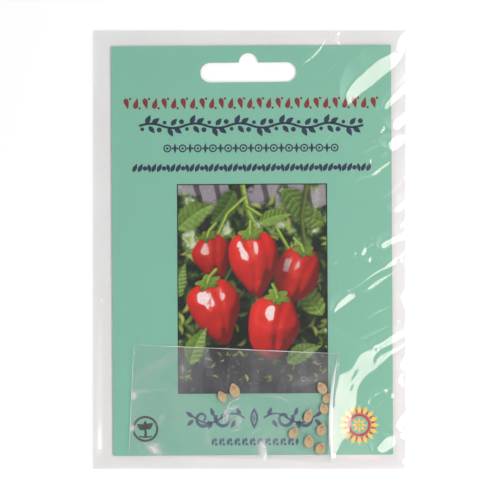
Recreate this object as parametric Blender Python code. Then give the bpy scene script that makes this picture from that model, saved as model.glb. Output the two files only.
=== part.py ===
"""A flat seed packet that hangs on a peg.

A clear film bag, welded along its edges, holds a printed card. In front of the card lies a small
clear film sachet with loose pepper seeds in it. One slot is punched through the bag and the card.

Metres, +Z up. The packet lies on its back: +X is its right, +Y its top and +Z comes out of its
front. The origin is the centre of its base.
"""

import math

import bmesh
import bpy
import numpy as np
from mathutils import Matrix, Vector

MM = 0.001
TOUCHING = 1e-9

# The bag's outline, its film and the band along its edge where both films are one
BAG_WIDTH = 105.0 * MM
BAG_LENGTH = 147.3 * MM
FILM = 0.12 * MM
CLEARANCE = 0.25 * MM
WELD_BAND = 0.5 * MM
WELD_HEIGHT = 0.6 * MM
WELD_LIFT_AT_BOTTOM = 0.42 * MM
EDGE_RUN = 3.9 * MM

# The card
CARD_WIDTH = 94.0 * MM
CARD_LENGTH = 137.6 * MM
CARD_THICKNESS = 0.35 * MM
CARD_CENTRE = (0.93 * MM, -0.31 * MM)
CARD_TURN = math.radians(0.31)

# The hang slot: a long hole with round ends and a half-round dome on its upper side
SLOT_LENGTH = 32.3 * MM
SLOT_HEIGHT = 6.6 * MM
SLOT_DOME_RADIUS = 3.2 * MM
SLOT_CENTRE = (-0.31 * MM, 59.5 * MM)
SLOT_TURN = math.radians(0.5)
SLOT_ARC_STEPS = 10
PUNCH_HEIGHT = 12.0 * MM
PUNCH_BASE = -4.0 * MM

# The sachet
SACHET_LENGTH = 69.6 * MM
SACHET_HEIGHT = 36.9 * MM
SACHET_CENTRE = (-5.05 * MM, -51.8 * MM)
SACHET_TURN = math.radians(-2.5)
SACHET_WELD = 1.2 * MM
SACHET_SWELL = 1.5 * MM
SACHET_EDGE_RUN = 2.6 * MM
SACHET_MOUTH_GAP = 0.25 * MM
SACHET_SPACE_PAST_MOUTH = 1.2 * MM
SACHET_FLAT_SHARE = 0.35
SACHET_FLAT_END = -24.0 * MM
SACHET_FULL_FROM = -10.0 * MM

# How far past the sachet the bag's film takes to come down to the card
BAG_FALL_INSET = 1.0 * MM
BAG_FALL_RUN = 8.5 * MM

# Heights of the stacked layers
CARD_BOTTOM = FILM + CLEARANCE
CARD_TOP = CARD_BOTTOM + CARD_THICKNESS
CARD_COVER = CARD_TOP + CLEARANCE + FILM
SACHET_BOTTOM = CARD_TOP + CLEARANCE
SACHET_EDGE_TOP = SACHET_BOTTOM + 2 * FILM

# Puckers of the bag's front film: crest from root to tip, the width of the steep flank on its left
# as seen from the root, the width of the other flank, and the rise at the root
PUCKERS = (
    ((52.5 * MM, 69.7 * MM), (17.0 * MM, 40.8 * MM), 3.8 * MM, 5.5 * MM, 0.75 * MM),
    ((52.5 * MM, 56.9 * MM), (44.5 * MM, 46.0 * MM), 2.7 * MM, 3.5 * MM, 0.50 * MM),
    ((48.2 * MM, 47.5 * MM), (48.2 * MM, 30.0 * MM), 4.6 * MM, 5.0 * MM, 0.35 * MM),
    ((52.5 * MM, 20.0 * MM), (44.0 * MM, 10.0 * MM), 4.0 * MM, 5.0 * MM, 0.45 * MM),
    ((52.5 * MM, 5.5 * MM), (38.0 * MM, -0.5 * MM), 3.6 * MM, 4.0 * MM, 0.50 * MM),
    ((49.0 * MM, -2.0 * MM), (30.0 * MM, -18.0 * MM), 2.4 * MM, 3.0 * MM, 0.35 * MM),
    ((52.5 * MM, -25.4 * MM), (30.0 * MM, -42.0 * MM), 5.0 * MM, 6.5 * MM, 0.95 * MM),
    ((49.0 * MM, -54.0 * MM), (41.0 * MM, -68.0 * MM), 4.5 * MM, 5.0 * MM, 0.55 * MM),
)

# The grid that the bag's film is drawn on: wide columns on the smooth side, narrow ones where it puckers
BAG_PUCKER_START = 22.0 * MM
BAG_SMOOTH_COLUMNS = 13
BAG_PUCKERED_COLUMNS = 9
BAG_ROWS = 34
SACHET_COLUMNS = 14
SACHET_ROWS = 7

# The seeds: centre, half length, half width, the way the beak points and the lean about the seed's width
SEED_HALF_THICKNESS = 0.42 * MM
SEED_LIFT_SHARE = 0.3
SEED_HOLLOW_SHARE = 0.72
SEED_BEAK_LENGTH = 0.2
SEED_BEAK_WIDTH = 0.30
SEED_SIDES = 18
SEED_RINGS = (0.45, 0.82, 0.95)
SEED_RING_HEIGHTS = (0.82, 1.0, 0.66)
SEED_FLOOR = SACHET_BOTTOM + FILM + CLEARANCE
SEEDS = (
    ((-9.10 * MM, -49.55 * MM), 1.91 * MM, 1.43 * MM, 122.0, 0.0),
    ((-4.95 * MM, -47.55 * MM), 2.29 * MM, 1.76 * MM, 107.0, 0.0),
    ((24.45 * MM, -46.70 * MM), 2.06 * MM, 1.60 * MM, 120.0, 3.0),
    ((25.95 * MM, -50.08 * MM), 1.64 * MM, 1.40 * MM, 60.0, 6.0),
    ((25.10 * MM, -53.62 * MM), 1.72 * MM, 1.55 * MM, 118.0, 2.0),
    ((19.70 * MM, -56.10 * MM), 2.14 * MM, 1.50 * MM, 74.0, 0.0),
    ((14.70 * MM, -61.75 * MM), 1.85 * MM, 1.55 * MM, 58.0, 0.0),
    ((24.15 * MM, -60.65 * MM), 1.97 * MM, 1.70 * MM, 77.0, 0.0),
    ((19.95 * MM, -64.65 * MM), 2.06 * MM, 1.68 * MM, 90.0, 0.0),
    ((23.75 * MM, -66.90 * MM), 1.89 * MM, 1.68 * MM, 64.0, 0.0),
)


def clear_scene():
    """Empties the file of the objects that it opened with."""
    for existing in list(bpy.data.objects):
        bpy.data.objects.remove(existing, do_unlink=True)


def plain_material(name, colour, roughness, alpha=1.0):
    """A Principled material of one colour."""
    material = bpy.data.materials.new(name)
    material.use_nodes = True
    shader = material.node_tree.nodes["Principled BSDF"]
    shader.inputs["Base Color"].default_value = (*colour, 1.0)
    shader.inputs["Roughness"].default_value = roughness
    shader.inputs["Metallic"].default_value = 0.0
    shader.inputs["Alpha"].default_value = alpha
    return material


def object_of(name, mesh, material=None):
    """Puts a mesh in the scene under a name, with its material."""
    piece = bpy.data.objects.new(name, mesh)
    bpy.context.scene.collection.objects.link(piece)
    if material is not None:
        mesh.materials.append(material)
    return piece


def cut(piece, cutter):
    """Takes the cutter's shape out of a piece and hides the cutter."""
    boolean = piece.modifiers.new("cut_" + cutter.name, "BOOLEAN")
    boolean.operation = "DIFFERENCE"
    boolean.solver = "EXACT"
    boolean.object = cutter
    cutter.hide_render = True
    cutter.display_type = "WIRE"


def share(value, low, high):
    """How far a value has come from low to high, between 0 and 1."""
    return min(1.0, max(0.0, (value - low) / (high - low)))


def edge_distance(x, y):
    """Distance from a point of the bag to its nearest edge."""
    return min(BAG_WIDTH / 2 - abs(x), BAG_LENGTH / 2 - abs(y))


def into_sachet(x, y):
    """A point in the sachet's own length and height directions, from its centre."""
    dx = x - SACHET_CENTRE[0]
    dy = y - SACHET_CENTRE[1]
    along = dx * math.cos(SACHET_TURN) + dy * math.sin(SACHET_TURN)
    up = -dx * math.sin(SACHET_TURN) + dy * math.cos(SACHET_TURN)
    return along, up


def sachet_filling(along):
    """The sachet is nearly flat at its empty end and full where the seeds are."""
    grown = share(along, SACHET_FLAT_END, SACHET_FULL_FROM)
    return SACHET_FLAT_SHARE + (1.0 - SACHET_FLAT_SHARE) * grown


def sachet_swell(along, up):
    """The space between the sachet's films: none at its welds, a slit at its mouth on the right."""
    welded = min(
        along + SACHET_LENGTH / 2 - SACHET_WELD,
        SACHET_HEIGHT / 2 - SACHET_WELD - abs(up),
    )
    mouth = SACHET_LENGTH / 2 - along
    side = share(welded, 0.0, SACHET_EDGE_RUN - SACHET_WELD)
    end = share(mouth, 0.0, SACHET_EDGE_RUN)
    slit = SACHET_MOUTH_GAP / SACHET_SWELL
    return SACHET_SWELL * sachet_filling(along) * side * (slit + (1.0 - slit) * end)


def cover(x, y):
    """Height of the bag's front film over the card and the sachet."""
    along, up = into_sachet(x, y)
    past_end = max(0.0, abs(along) - (SACHET_LENGTH / 2 - BAG_FALL_INSET))
    past_side = max(0.0, abs(up) - (SACHET_HEIGHT / 2 - BAG_FALL_INSET))
    over = 1.0 - share(math.hypot(past_end, past_side), 0.0, BAG_FALL_RUN)
    top = SACHET_EDGE_TOP + SACHET_SWELL * sachet_filling(along) + CLEARANCE + FILM
    return CARD_COVER + over * (top - CARD_COVER)


def pucker_rise(x, y):
    """How much the puckers lift the film: each is a roof that tapers from its root to its tip."""
    rise = 0.0
    for root, tip, steep_flank, other_flank, height in PUCKERS:
        crest = Vector(tip) - Vector(root)
        step = Vector((x, y)) - Vector(root)
        along = step.dot(crest) / crest.length_squared
        across = (crest.y * step.x - crest.x * step.y) / crest.length
        taper = 1.0 - share(along, 0.0, 1.0)
        before = max(0.0, -along * crest.length)
        flank = (steep_flank if across < 0.0 else other_flank) * taper
        if flank > 0.0:
            rise += height * taper * max(0.0, 1.0 - math.hypot(across, before) / flank)
    return rise


def weld_middle(x, y):
    """Height at which the two films meet. The edge floats a little above the table."""
    lift = WELD_LIFT_AT_BOTTOM * share(-y, 0.0, BAG_LENGTH / 2)
    return WELD_HEIGHT + lift + pucker_rise(x, y)


def front_outside(x, y):
    """Height of the bag's front."""
    climb = share(edge_distance(x, y), WELD_BAND, EDGE_RUN)
    weld = weld_middle(x, y) + FILM
    return weld + (cover(x, y) + pucker_rise(x, y) - weld) * climb


def back_outside(x, y):
    """Height of the bag's back, which is flat on the table within its raised edge."""
    climb = share(edge_distance(x, y), WELD_BAND, EDGE_RUN)
    return (weld_middle(x, y) - FILM) * (1.0 - climb)


def between(start, end, steps):
    """Even stops from start to end, without the end."""
    return list(np.linspace(start, end, steps, endpoint=False))


def layered_solid(name, columns, rows, top, bottom, material=None):
    """A closed solid between two height functions on a grid. Where they meet, the edge is sharp."""
    made = bmesh.new()
    upper = {}
    lower = {}
    for i, x in enumerate(columns):
        for j, y in enumerate(rows):
            high = top(x, y)
            low = bottom(x, y)
            upper[i, j] = made.verts.new((x, y, high))
            meets = high - low < TOUCHING
            lower[i, j] = upper[i, j] if meets else made.verts.new((x, y, low))
    for i in range(len(columns) - 1):
        for j in range(len(rows) - 1):
            corners = ((i, j), (i + 1, j), (i + 1, j + 1), (i, j + 1))
            made.faces.new([upper[c] for c in corners])
            made.faces.new([lower[c] for c in reversed(corners)])
    rim = [(i, 0) for i in range(len(columns) - 1)]
    rim += [(len(columns) - 1, j) for j in range(len(rows) - 1)]
    rim += [(i, len(rows) - 1) for i in range(len(columns) - 1, 0, -1)]
    rim += [(0, j) for j in range(len(rows) - 1, 0, -1)]
    for here, there in zip(rim, rim[1:] + rim[:1]):
        wall = [lower[here], lower[there], upper[there], upper[here]]
        wall = list(dict.fromkeys(wall))
        if len(wall) > 2:
            made.faces.new(wall)
    bmesh.ops.triangulate(made, faces=made.faces[:])
    mesh = bpy.data.meshes.new(name)
    made.to_mesh(mesh)
    made.free()
    return object_of(name, mesh, material)


def slot_cutter():
    """The punch for the hang slot, taller than the packet."""
    half = SLOT_LENGTH / 2 - SLOT_HEIGHT / 2
    radius = SLOT_HEIGHT / 2
    outline = []
    for step in range(SLOT_ARC_STEPS + 1):
        angle = -math.pi / 2 + math.pi * step / SLOT_ARC_STEPS
        outline.append((half + radius * math.cos(angle), radius * math.sin(angle)))
    for step in range(SLOT_ARC_STEPS + 1):
        angle = math.pi * step / SLOT_ARC_STEPS
        outline.append((SLOT_DOME_RADIUS * math.cos(angle), radius + SLOT_DOME_RADIUS * math.sin(angle)))
    for step in range(SLOT_ARC_STEPS + 1):
        angle = math.pi / 2 + math.pi * step / SLOT_ARC_STEPS
        outline.append((-half + radius * math.cos(angle), radius * math.sin(angle)))
    made = bmesh.new()
    ring = [made.verts.new((x, y, 0.0)) for x, y in outline]
    face = made.faces.new(ring)
    wall = bmesh.ops.extrude_face_region(made, geom=[face])
    raised = [v for v in wall["geom"] if isinstance(v, bmesh.types.BMVert)]
    bmesh.ops.translate(made, verts=raised, vec=(0.0, 0.0, PUNCH_HEIGHT))
    bmesh.ops.recalc_face_normals(made, faces=made.faces[:])
    mesh = bpy.data.meshes.new("slot_punch")
    made.to_mesh(mesh)
    made.free()
    punch = object_of("slot_punch", mesh)
    punch.location = (*SLOT_CENTRE, PUNCH_BASE)
    punch.rotation_euler.z = SLOT_TURN
    return punch


def make_bag(film, punch):
    """The outer bag: two films welded at the edge, round the space that holds the card."""
    half_width = BAG_WIDTH / 2
    half_length = BAG_LENGTH / 2
    inner_columns = between(-half_width + EDGE_RUN, BAG_PUCKER_START, BAG_SMOOTH_COLUMNS)
    inner_columns += between(BAG_PUCKER_START, half_width - EDGE_RUN, BAG_PUCKERED_COLUMNS)
    inner_columns.append(half_width - EDGE_RUN)
    inner_rows = between(-half_length + EDGE_RUN, half_length - EDGE_RUN, BAG_ROWS)
    inner_rows.append(half_length - EDGE_RUN)
    columns = [-half_width + WELD_BAND, *inner_columns, half_width - WELD_BAND]
    rows = [-half_length + WELD_BAND, *inner_rows, half_length - WELD_BAND]
    bag = layered_solid(
        "bag",
        [-half_width, *columns, half_width],
        [-half_length, *rows, half_length],
        front_outside,
        back_outside,
        film,
    )
    space = layered_solid(
        "bag_space",
        columns,
        rows,
        lambda x, y: front_outside(x, y) - FILM,
        lambda x, y: back_outside(x, y) + FILM,
    )
    cut(bag, space)
    cut(bag, punch)
    return bag


def make_card(board, punch):
    """The printed card, loose in the bag and a little turned."""
    made = bmesh.new()
    bmesh.ops.create_cube(made, size=1.0)
    size = Matrix.Diagonal((CARD_WIDTH, CARD_LENGTH, CARD_THICKNESS, 1.0))
    bmesh.ops.transform(made, matrix=size, verts=made.verts[:])
    mesh = bpy.data.meshes.new("card")
    made.to_mesh(mesh)
    made.free()
    card = object_of("card", mesh, board)
    card.location = (*CARD_CENTRE, CARD_BOTTOM + CARD_THICKNESS / 2)
    card.rotation_euler.z = CARD_TURN
    cut(card, punch)
    return card


def make_sachet(film):
    """The small film bag of seeds, welded on three sides, with a slit left at its right end."""
    half_length = SACHET_LENGTH / 2
    half_height = SACHET_HEIGHT / 2
    run = SACHET_EDGE_RUN
    columns = between(-half_length + run, half_length - run, SACHET_COLUMNS)
    columns = [-half_length + SACHET_WELD, *columns, half_length - run]
    rows = between(-half_height + run, half_height - run, SACHET_ROWS)
    rows = [-half_height + SACHET_WELD, *rows, half_height - run, half_height - SACHET_WELD]
    sachet = layered_solid(
        "sachet",
        [-half_length, *columns, half_length],
        [-half_height, *rows, half_height],
        lambda x, y: SACHET_EDGE_TOP + sachet_swell(x, y),
        lambda x, y: SACHET_BOTTOM,
        film,
    )
    past_mouth = half_length + SACHET_SPACE_PAST_MOUTH
    space = layered_solid(
        "sachet_space",
        [*columns, half_length, past_mouth],
        rows,
        lambda x, y: SACHET_BOTTOM + FILM + sachet_swell(min(x, half_length), y),
        lambda x, y: SACHET_BOTTOM + FILM,
    )
    for piece in (sachet, space):
        piece.location = (*SACHET_CENTRE, 0.0)
        piece.rotation_euler.z = SACHET_TURN
    cut(sachet, space)
    return sachet


def seed_reach(angle, half_length, half_width):
    """How far a seed's outline is from its centre: an oval with a short beak at angle 0."""
    oval = half_length * half_width / math.hypot(half_width * math.cos(angle), half_length * math.sin(angle))
    turn = math.remainder(angle, 2 * math.pi)
    return oval * (1.0 + SEED_BEAK_LENGTH * math.exp(-((turn / SEED_BEAK_WIDTH) ** 2)))


def make_seed(name, place, half_length, half_width, beak_turn, lean, coat):
    """One flat seed with a thicker rim, a shallow hollow on each face and a beak."""
    made = bmesh.new()

    def ring(reach, height):
        """Points round the seed at a share of its outline."""
        points = []
        for side in range(SEED_SIDES):
            angle = 2 * math.pi * side / SEED_SIDES
            r = reach * seed_reach(angle, half_length, half_width)
            points.append(made.verts.new((r * math.cos(angle), r * math.sin(angle), height)))
        return points

    top = made.verts.new((0.0, 0.0, SEED_HALF_THICKNESS * SEED_HOLLOW_SHARE))
    steps = list(zip(SEED_RINGS, SEED_RING_HEIGHTS))
    rings = [ring(r, SEED_HALF_THICKNESS * h) for r, h in steps]
    rings.append(ring(1.0, 0.0))
    rings += [ring(r, -SEED_HALF_THICKNESS * h) for r, h in reversed(steps)]
    bottom = made.verts.new((0.0, 0.0, -SEED_HALF_THICKNESS * SEED_HOLLOW_SHARE))
    for side in range(SEED_SIDES):
        after = (side + 1) % SEED_SIDES
        made.faces.new((top, rings[0][side], rings[0][after]))
        for outer, inner in zip(rings[1:], rings):
            made.faces.new((inner[side], outer[side], outer[after], inner[after]))
        made.faces.new((bottom, rings[-1][after], rings[-1][side]))
    bmesh.ops.triangulate(made, faces=made.faces[:])
    mesh = bpy.data.meshes.new(name)
    made.to_mesh(mesh)
    made.free()
    mesh.shade_smooth()
    seed = object_of(name, mesh, coat)
    turned = Matrix.Rotation(math.radians(beak_turn), 4, "Z")
    leaned = Matrix.Rotation(math.radians(-lean), 4, "Y")
    lift = half_length * math.sin(math.radians(lean)) * SEED_LIFT_SHARE
    height = SEED_FLOOR + SEED_HALF_THICKNESS + lift
    seed.matrix_world = Matrix.Translation((*place, height)) @ turned @ leaned
    return seed


def main():
    """Builds the packet."""
    clear_scene()
    film = plain_material("clear_film", (0.93, 0.94, 0.94), 0.08, alpha=0.2)
    board = plain_material("printed_card", (0.23, 0.50, 0.36), 0.45)
    coat = plain_material("seed_coat", (0.68, 0.44, 0.22), 0.6)
    punch = slot_cutter()
    make_bag(film, punch)
    make_card(board, punch)
    make_sachet(film)
    for number, (place, half_length, half_width, beak_turn, lean) in enumerate(SEEDS, 1):
        make_seed(f"seed_{number:02d}", place, half_length, half_width, beak_turn, lean, coat)


main()
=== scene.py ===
"""Looks of a clear seed packet: film bag, printed card, small film sachet and loose pepper seeds.

Metres, +Z up. The packet lies on its back with its top towards +Y, and the camera looks straight
down on it. Every piece is laid out from the same sizes as the solids that it dresses.
"""

import logging
import math
from dataclasses import dataclass
from enum import Enum
from typing import Callable, Sequence

import bmesh
import bpy
import numpy as np
from mathutils import Matrix, Vector, geometry, noise


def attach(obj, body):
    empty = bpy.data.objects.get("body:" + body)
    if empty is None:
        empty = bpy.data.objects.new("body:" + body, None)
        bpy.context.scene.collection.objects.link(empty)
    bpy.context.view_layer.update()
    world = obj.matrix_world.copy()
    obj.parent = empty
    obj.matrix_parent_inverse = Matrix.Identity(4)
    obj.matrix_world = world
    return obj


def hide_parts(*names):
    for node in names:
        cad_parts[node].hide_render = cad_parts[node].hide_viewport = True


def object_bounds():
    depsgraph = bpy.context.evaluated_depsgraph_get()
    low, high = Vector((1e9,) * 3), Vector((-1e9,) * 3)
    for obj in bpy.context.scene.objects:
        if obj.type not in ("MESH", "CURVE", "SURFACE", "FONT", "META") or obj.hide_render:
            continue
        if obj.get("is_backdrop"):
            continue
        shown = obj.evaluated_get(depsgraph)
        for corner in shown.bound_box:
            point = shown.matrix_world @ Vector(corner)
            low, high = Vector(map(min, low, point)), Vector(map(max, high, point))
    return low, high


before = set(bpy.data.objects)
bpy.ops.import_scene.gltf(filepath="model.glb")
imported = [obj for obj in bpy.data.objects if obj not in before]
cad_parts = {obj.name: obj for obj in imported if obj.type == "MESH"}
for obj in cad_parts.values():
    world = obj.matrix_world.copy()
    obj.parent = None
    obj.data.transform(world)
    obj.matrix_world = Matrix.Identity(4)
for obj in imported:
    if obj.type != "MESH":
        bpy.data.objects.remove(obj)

LOG = logging.getLogger("seed_packet")
MM = 0.001

# Heights of the stacked layers, which the films, the card and the seeds share
FILM = 0.12 * MM
CLEARANCE = 0.25 * MM
CARD_THICKNESS = 0.35 * MM
CARD_BOTTOM = FILM + CLEARANCE
CARD_TOP = CARD_BOTTOM + CARD_THICKNESS
CARD_COVER = CARD_TOP + CLEARANCE + FILM
SACHET_BOTTOM = CARD_TOP + CLEARANCE
SACHET_EDGE_TOP = SACHET_BOTTOM + 2 * FILM
SEED_FLOOR = SACHET_BOTTOM + FILM + CLEARANCE
PRINT_THICKNESS = 0.012 * MM

Array = np.ndarray
Material = bpy.types.Material
Mesh = bpy.types.Mesh
Socket = bpy.types.NodeSocket
Point = tuple[float, float]
Colour = tuple[float, float, float]
Loop = list[Point]
Shape = list[Loop]


def share(value: Array, low: float, high: float) -> Array:
    """Returns how far each value has come from low to high, between 0 and 1."""
    return np.clip((value - low) / (high - low), 0.0, 1.0)


def ease(value: Array, low: float, high: float) -> Array:
    """Returns the same share with a soft start and a soft end."""
    part = share(value, low, high)
    return part * part * (3.0 - 2.0 * part)


def turned(x: Array, y: Array, angle: float) -> tuple[Array, Array]:
    """Returns points turned anticlockwise about the origin, by an angle in radians."""
    c, s = math.cos(angle), math.sin(angle)
    return x * c - y * s, x * s + y * c


def between(grid: Array, row: Array, column: Array, soft_steps: bool = False) -> Array:
    """Returns a grid's values between its points.

    Args:
        grid: The values.
        row: Which row is wanted, with the share of the way to the next one.
        column: The same for the column.
        soft_steps: Whether the values change softly from point to point.

    Returns:
        The value at each place.
    """
    i, j = column.astype(int), row.astype(int)
    u, v = column - i, row - j
    if soft_steps:
        u, v = ease(u, 0.0, 1.0), ease(v, 0.0, 1.0)
    lower = grid[j, i] * (1.0 - u) + grid[j, i + 1] * u
    upper = grid[j + 1, i] * (1.0 - u) + grid[j + 1, i + 1] * u
    return lower * (1.0 - v) + upper * v


def stops(*parts: tuple[float, float, float]) -> Array:
    """Returns grid lines for a run of stretches.

    Args:
        parts: For each stretch its start, its end and the widest step in it.

    Returns:
        Every line once, in rising order.
    """
    lines: list[float] = []
    for start, end, step in parts:
        count = max(1, math.ceil((end - start) / step - 1e-6))
        lines += list(np.linspace(start, end, count, endpoint=False))
    return np.array(lines + [parts[-1][1]])


@dataclass
class NodeMaker:
    """Adds nodes to a material, a group, a modifier's tree or the world."""

    tree: bpy.types.NodeTree

    def add(self, kind: str, sockets: dict | None = None, **settings: object) -> bpy.types.Node:
        """Adds one node.

        Args:
            kind: The node's Blender type.
            sockets: For an input's name or number, a plain value or the output that feeds it.
            settings: Attributes of the node.

        Returns:
            The new node.
        """
        node = self.tree.nodes.new(kind)
        for name, value in settings.items():
            setattr(node, name, value)
        for name, value in (sockets or {}).items():
            if isinstance(value, Socket):
                self.tree.links.new(value, node.inputs[name])
            else:
                node.inputs[name].default_value = value
        return node

    def calculate(self, operation: str, *values: object) -> Socket:
        """Returns what a Math node makes of plain values and outputs."""
        return self.add("ShaderNodeMath", dict(enumerate(values)), operation=operation).outputs[0]

    def ramp(self, value: Socket, low: object, high: object, start: float = 0.0,
             end: float = 1.0, curve: str = "LINEAR") -> Socket:
        """Returns start where a value is low, end where it is high, and a curve between them."""
        sockets = {"Value": value, "From Min": low, "From Max": high, "To Min": start, "To Max": end}
        return self.add("ShaderNodeMapRange", sockets, interpolation_type=curve).outputs["Result"]

    def object_place(self) -> Socket:
        """Returns the point in the piece's own coordinates."""
        return self.add("ShaderNodeTexCoord").outputs["Object"]

    def attribute(self, name: str, output: str = "Fac") -> Socket:
        """Returns one of the mesh's own attributes."""
        return self.add("ShaderNodeAttribute", attribute_name=name).outputs[output]

    def mix(self, factor: Socket, low: object, high: object) -> Socket:
        """Returns a colour between two, by a factor that changes over the surface."""
        return self.add("ShaderNodeMix", {0: factor, 6: low, 7: high}, data_type="RGBA").outputs[2]

    def bump(self, height: Socket, distance: float) -> Socket:
        """Returns the normals of a surface with this height on it."""
        return self.add("ShaderNodeBump", {"Height": height, "Distance": distance}).outputs[0]

    def face(self, sockets: dict) -> None:
        """Ends a material in a Principled surface with these inputs."""
        shader = self.add("ShaderNodeBsdfPrincipled", sockets)
        self.add("ShaderNodeOutputMaterial", {"Surface": shader.outputs[0]})


def rgba(colour: Colour) -> tuple[float, float, float, float]:
    """Returns a colour with full opacity."""
    return (*colour, 1.0)


def new_group(name: str, output: str, **inputs: float) -> tuple[NodeMaker, bpy.types.Node]:
    """Starts a shader group that takes a place and some numbers and puts out one number.

    Args:
        name: The group's name.
        output: The output's name.
        inputs: The numbers' first values, by name.

    Returns:
        The group's node maker and its input node.
    """
    group = bpy.data.node_groups.new(name, "ShaderNodeTree")
    group.interface.new_socket("Place", in_out="INPUT", socket_type="NodeSocketVector")
    for label, value in inputs.items():
        socket = group.interface.new_socket(label, in_out="INPUT", socket_type="NodeSocketFloat")
        socket.default_value = value
    group.interface.new_socket(output, in_out="OUTPUT", socket_type="NodeSocketFloat")
    tree = NodeMaker(group)
    return tree, tree.add("NodeGroupInput")


def mottle_group() -> bpy.types.NodeTree:
    """Returns the soft uneven patches of a print, a coat or a board, as a mask.

    Returns:
        The shader group.
    """
    tree, given = new_group("soft_mottle", "Mask", Scale=100.0, Detail=2.0)
    place, scale, detail = (given.outputs[name] for name in ("Place", "Scale", "Detail"))
    patches = tree.add("ShaderNodeTexNoise", {"Vector": place, "Scale": scale, "Detail": detail})
    tree.add("NodeGroupOutput", {"Mask": tree.ramp(patches.outputs["Fac"], 0.32, 0.68)})
    return tree.tree


def crinkle_group() -> bpy.types.NodeTree:
    """Returns thin curved creases, which lie along the level lines of a soft noise, as a height.

    Returns:
        The shader group.
    """
    tree, given = new_group("film_crinkle", "Height", Scale=50.0, Width=0.01, Cover=0.5)
    place, scale, width, cover = (given.outputs[k] for k in ("Place", "Scale", "Width", "Cover"))
    field = tree.add("ShaderNodeTexNoise", {"Vector": place, "Scale": scale, "Detail": 1.0})
    near = tree.calculate("ABSOLUTE", tree.calculate("SUBTRACT", field.outputs["Fac"], 0.5))
    line = tree.ramp(near, 0.0, width, 1.0, 0.0, "SMOOTHSTEP")
    where = tree.add("ShaderNodeTexNoise", {"Vector": place, "Scale": 70.0, "Detail": 0.0})
    kept = tree.ramp(where.outputs["Fac"], cover, 0.7, curve="SMOOTHSTEP")
    tree.add("NodeGroupOutput", {"Height": tree.calculate("MULTIPLY", line, kept)})
    return tree.tree


@dataclass
class Effects:
    """The shader groups that several finishes share."""

    mottle: bpy.types.NodeTree
    crinkle: bpy.types.NodeTree

    def mask(self, tree: NodeMaker, scale: float, detail: float = 2.0) -> Socket:
        """Returns soft patches of about 1/scale metres as a mask in a material."""
        sockets = {"Place": tree.object_place(), "Scale": scale, "Detail": detail}
        return tree.add("ShaderNodeGroup", sockets, node_tree=self.mottle).outputs["Mask"]

    def creases(self, tree: NodeMaker, scale: float, width: float,
                cover: float) -> Socket:
        """Returns thin creases as a height in a material."""
        sockets = {"Place": tree.object_place(), "Scale": scale, "Width": width, "Cover": cover}
        return tree.add("ShaderNodeGroup", sockets, node_tree=self.crinkle).outputs["Height"]


def empty_material(name: str) -> tuple[Material, NodeMaker]:
    """Returns a new material without nodes and its node maker.

    Args:
        name: The material's name.

    Returns:
        The material and its node maker.
    """
    material = bpy.data.materials.new(name)
    material.use_nodes = True
    material.node_tree.nodes.clear()
    return material, NodeMaker(material.node_tree)


@dataclass(frozen=True)
class FilmFinish:
    """Clear film: most light passes, and what comes back is mirror gloss with a little milky scatter,
    and with a painted sheen where a mask asks for it.
    """

    name: str
    passes: Colour
    facing_return: float
    mirror_share: float
    roughness: float
    crease_scale: float
    crease_width: float
    crease_cover: float
    crease_height: float
    patchiness: float = 0.15
    patch_scale: float = 42.0
    painted_sheen_attribute: str = ""
    mirror: Colour = (0.96, 0.97, 0.97)
    steepness: float = 5.0

    def material(self, effects: Effects) -> Material:
        """Returns the film's material: more comes back the flatter one looks along it.

        Args:
            effects: The shared shader groups.

        Returns:
            The material.
        """
        material, tree = empty_material(self.name)
        height = effects.creases(tree, self.crease_scale, self.crease_width, self.crease_cover)
        gloss = tree.add("ShaderNodeBsdfPrincipled", {
            "Base Color": rgba(self.mirror), "Metallic": self.mirror_share,
            "Roughness": self.roughness, "Normal": tree.bump(height, self.crease_height)})
        clear = tree.add("ShaderNodeBsdfTransparent", {"Color": rgba(self.passes)})
        facing = tree.add("ShaderNodeLayerWeight", {"Blend": 0.5})
        steep = tree.calculate("POWER", facing.outputs["Facing"], self.steepness)
        patches = tree.ramp(effects.mask(tree, self.patch_scale), 0.0, 1.0,
                            self.facing_return * (1.0 - self.patchiness),
                            self.facing_return * (1.0 + self.patchiness))
        returned = tree.calculate("MULTIPLY_ADD", steep, 1.0 - self.facing_return, patches)
        # A mask on the mesh paints sheen into the film: more light comes back there, from any side.
        if self.painted_sheen_attribute:
            hazy_and_sheen = {0: returned, 1: tree.attribute(self.painted_sheen_attribute)}
            returned = tree.add("ShaderNodeMath", hazy_and_sheen, use_clamp=True).outputs[0]
        mixed = tree.add("ShaderNodeMixShader", {0: returned, 1: clear.outputs[0],
                                                 2: gloss.outputs[0]})
        tree.add("ShaderNodeOutputMaterial", {"Surface": mixed.outputs[0]})
        return material


@dataclass(frozen=True)
class InkFinish:
    """Printed ink: its colour where it lies full and where it lies thin, with a satin face."""

    name: str
    full: Colour
    thin: Colour
    roughness: float = 0.5
    grain_scale: float = 2600.0

    def material(self, effects: Effects) -> Material:
        """Returns the ink's material.

        Args:
            effects: The shared shader groups.

        Returns:
            The material.
        """
        material, tree = empty_material(self.name)
        colour = tree.mix(effects.mask(tree, self.grain_scale), rgba(self.full), rgba(self.thin))
        tree.face({"Base Color": colour, "Roughness": self.roughness})
        return material


class Ink(Enum):
    """The inks of the card's ornaments."""

    RED = InkFinish("red_ink", (0.17, 0.008, 0.010), (0.23, 0.020, 0.022))
    NAVY = InkFinish("navy_ink", (0.007, 0.012, 0.052), (0.014, 0.026, 0.075))
    SLATE = InkFinish("slate_ink", (0.014, 0.045, 0.14), (0.026, 0.066, 0.175))
    DARK = InkFinish("dark_ink", (0.005, 0.006, 0.008), (0.011, 0.013, 0.017))
    YELLOW = InkFinish("yellow_ink", (0.85, 0.56, 0.06), (0.9, 0.66, 0.16))
    SCARLET = InkFinish("scarlet_ink", (0.52, 0.028, 0.028), (0.62, 0.06, 0.05))


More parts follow.
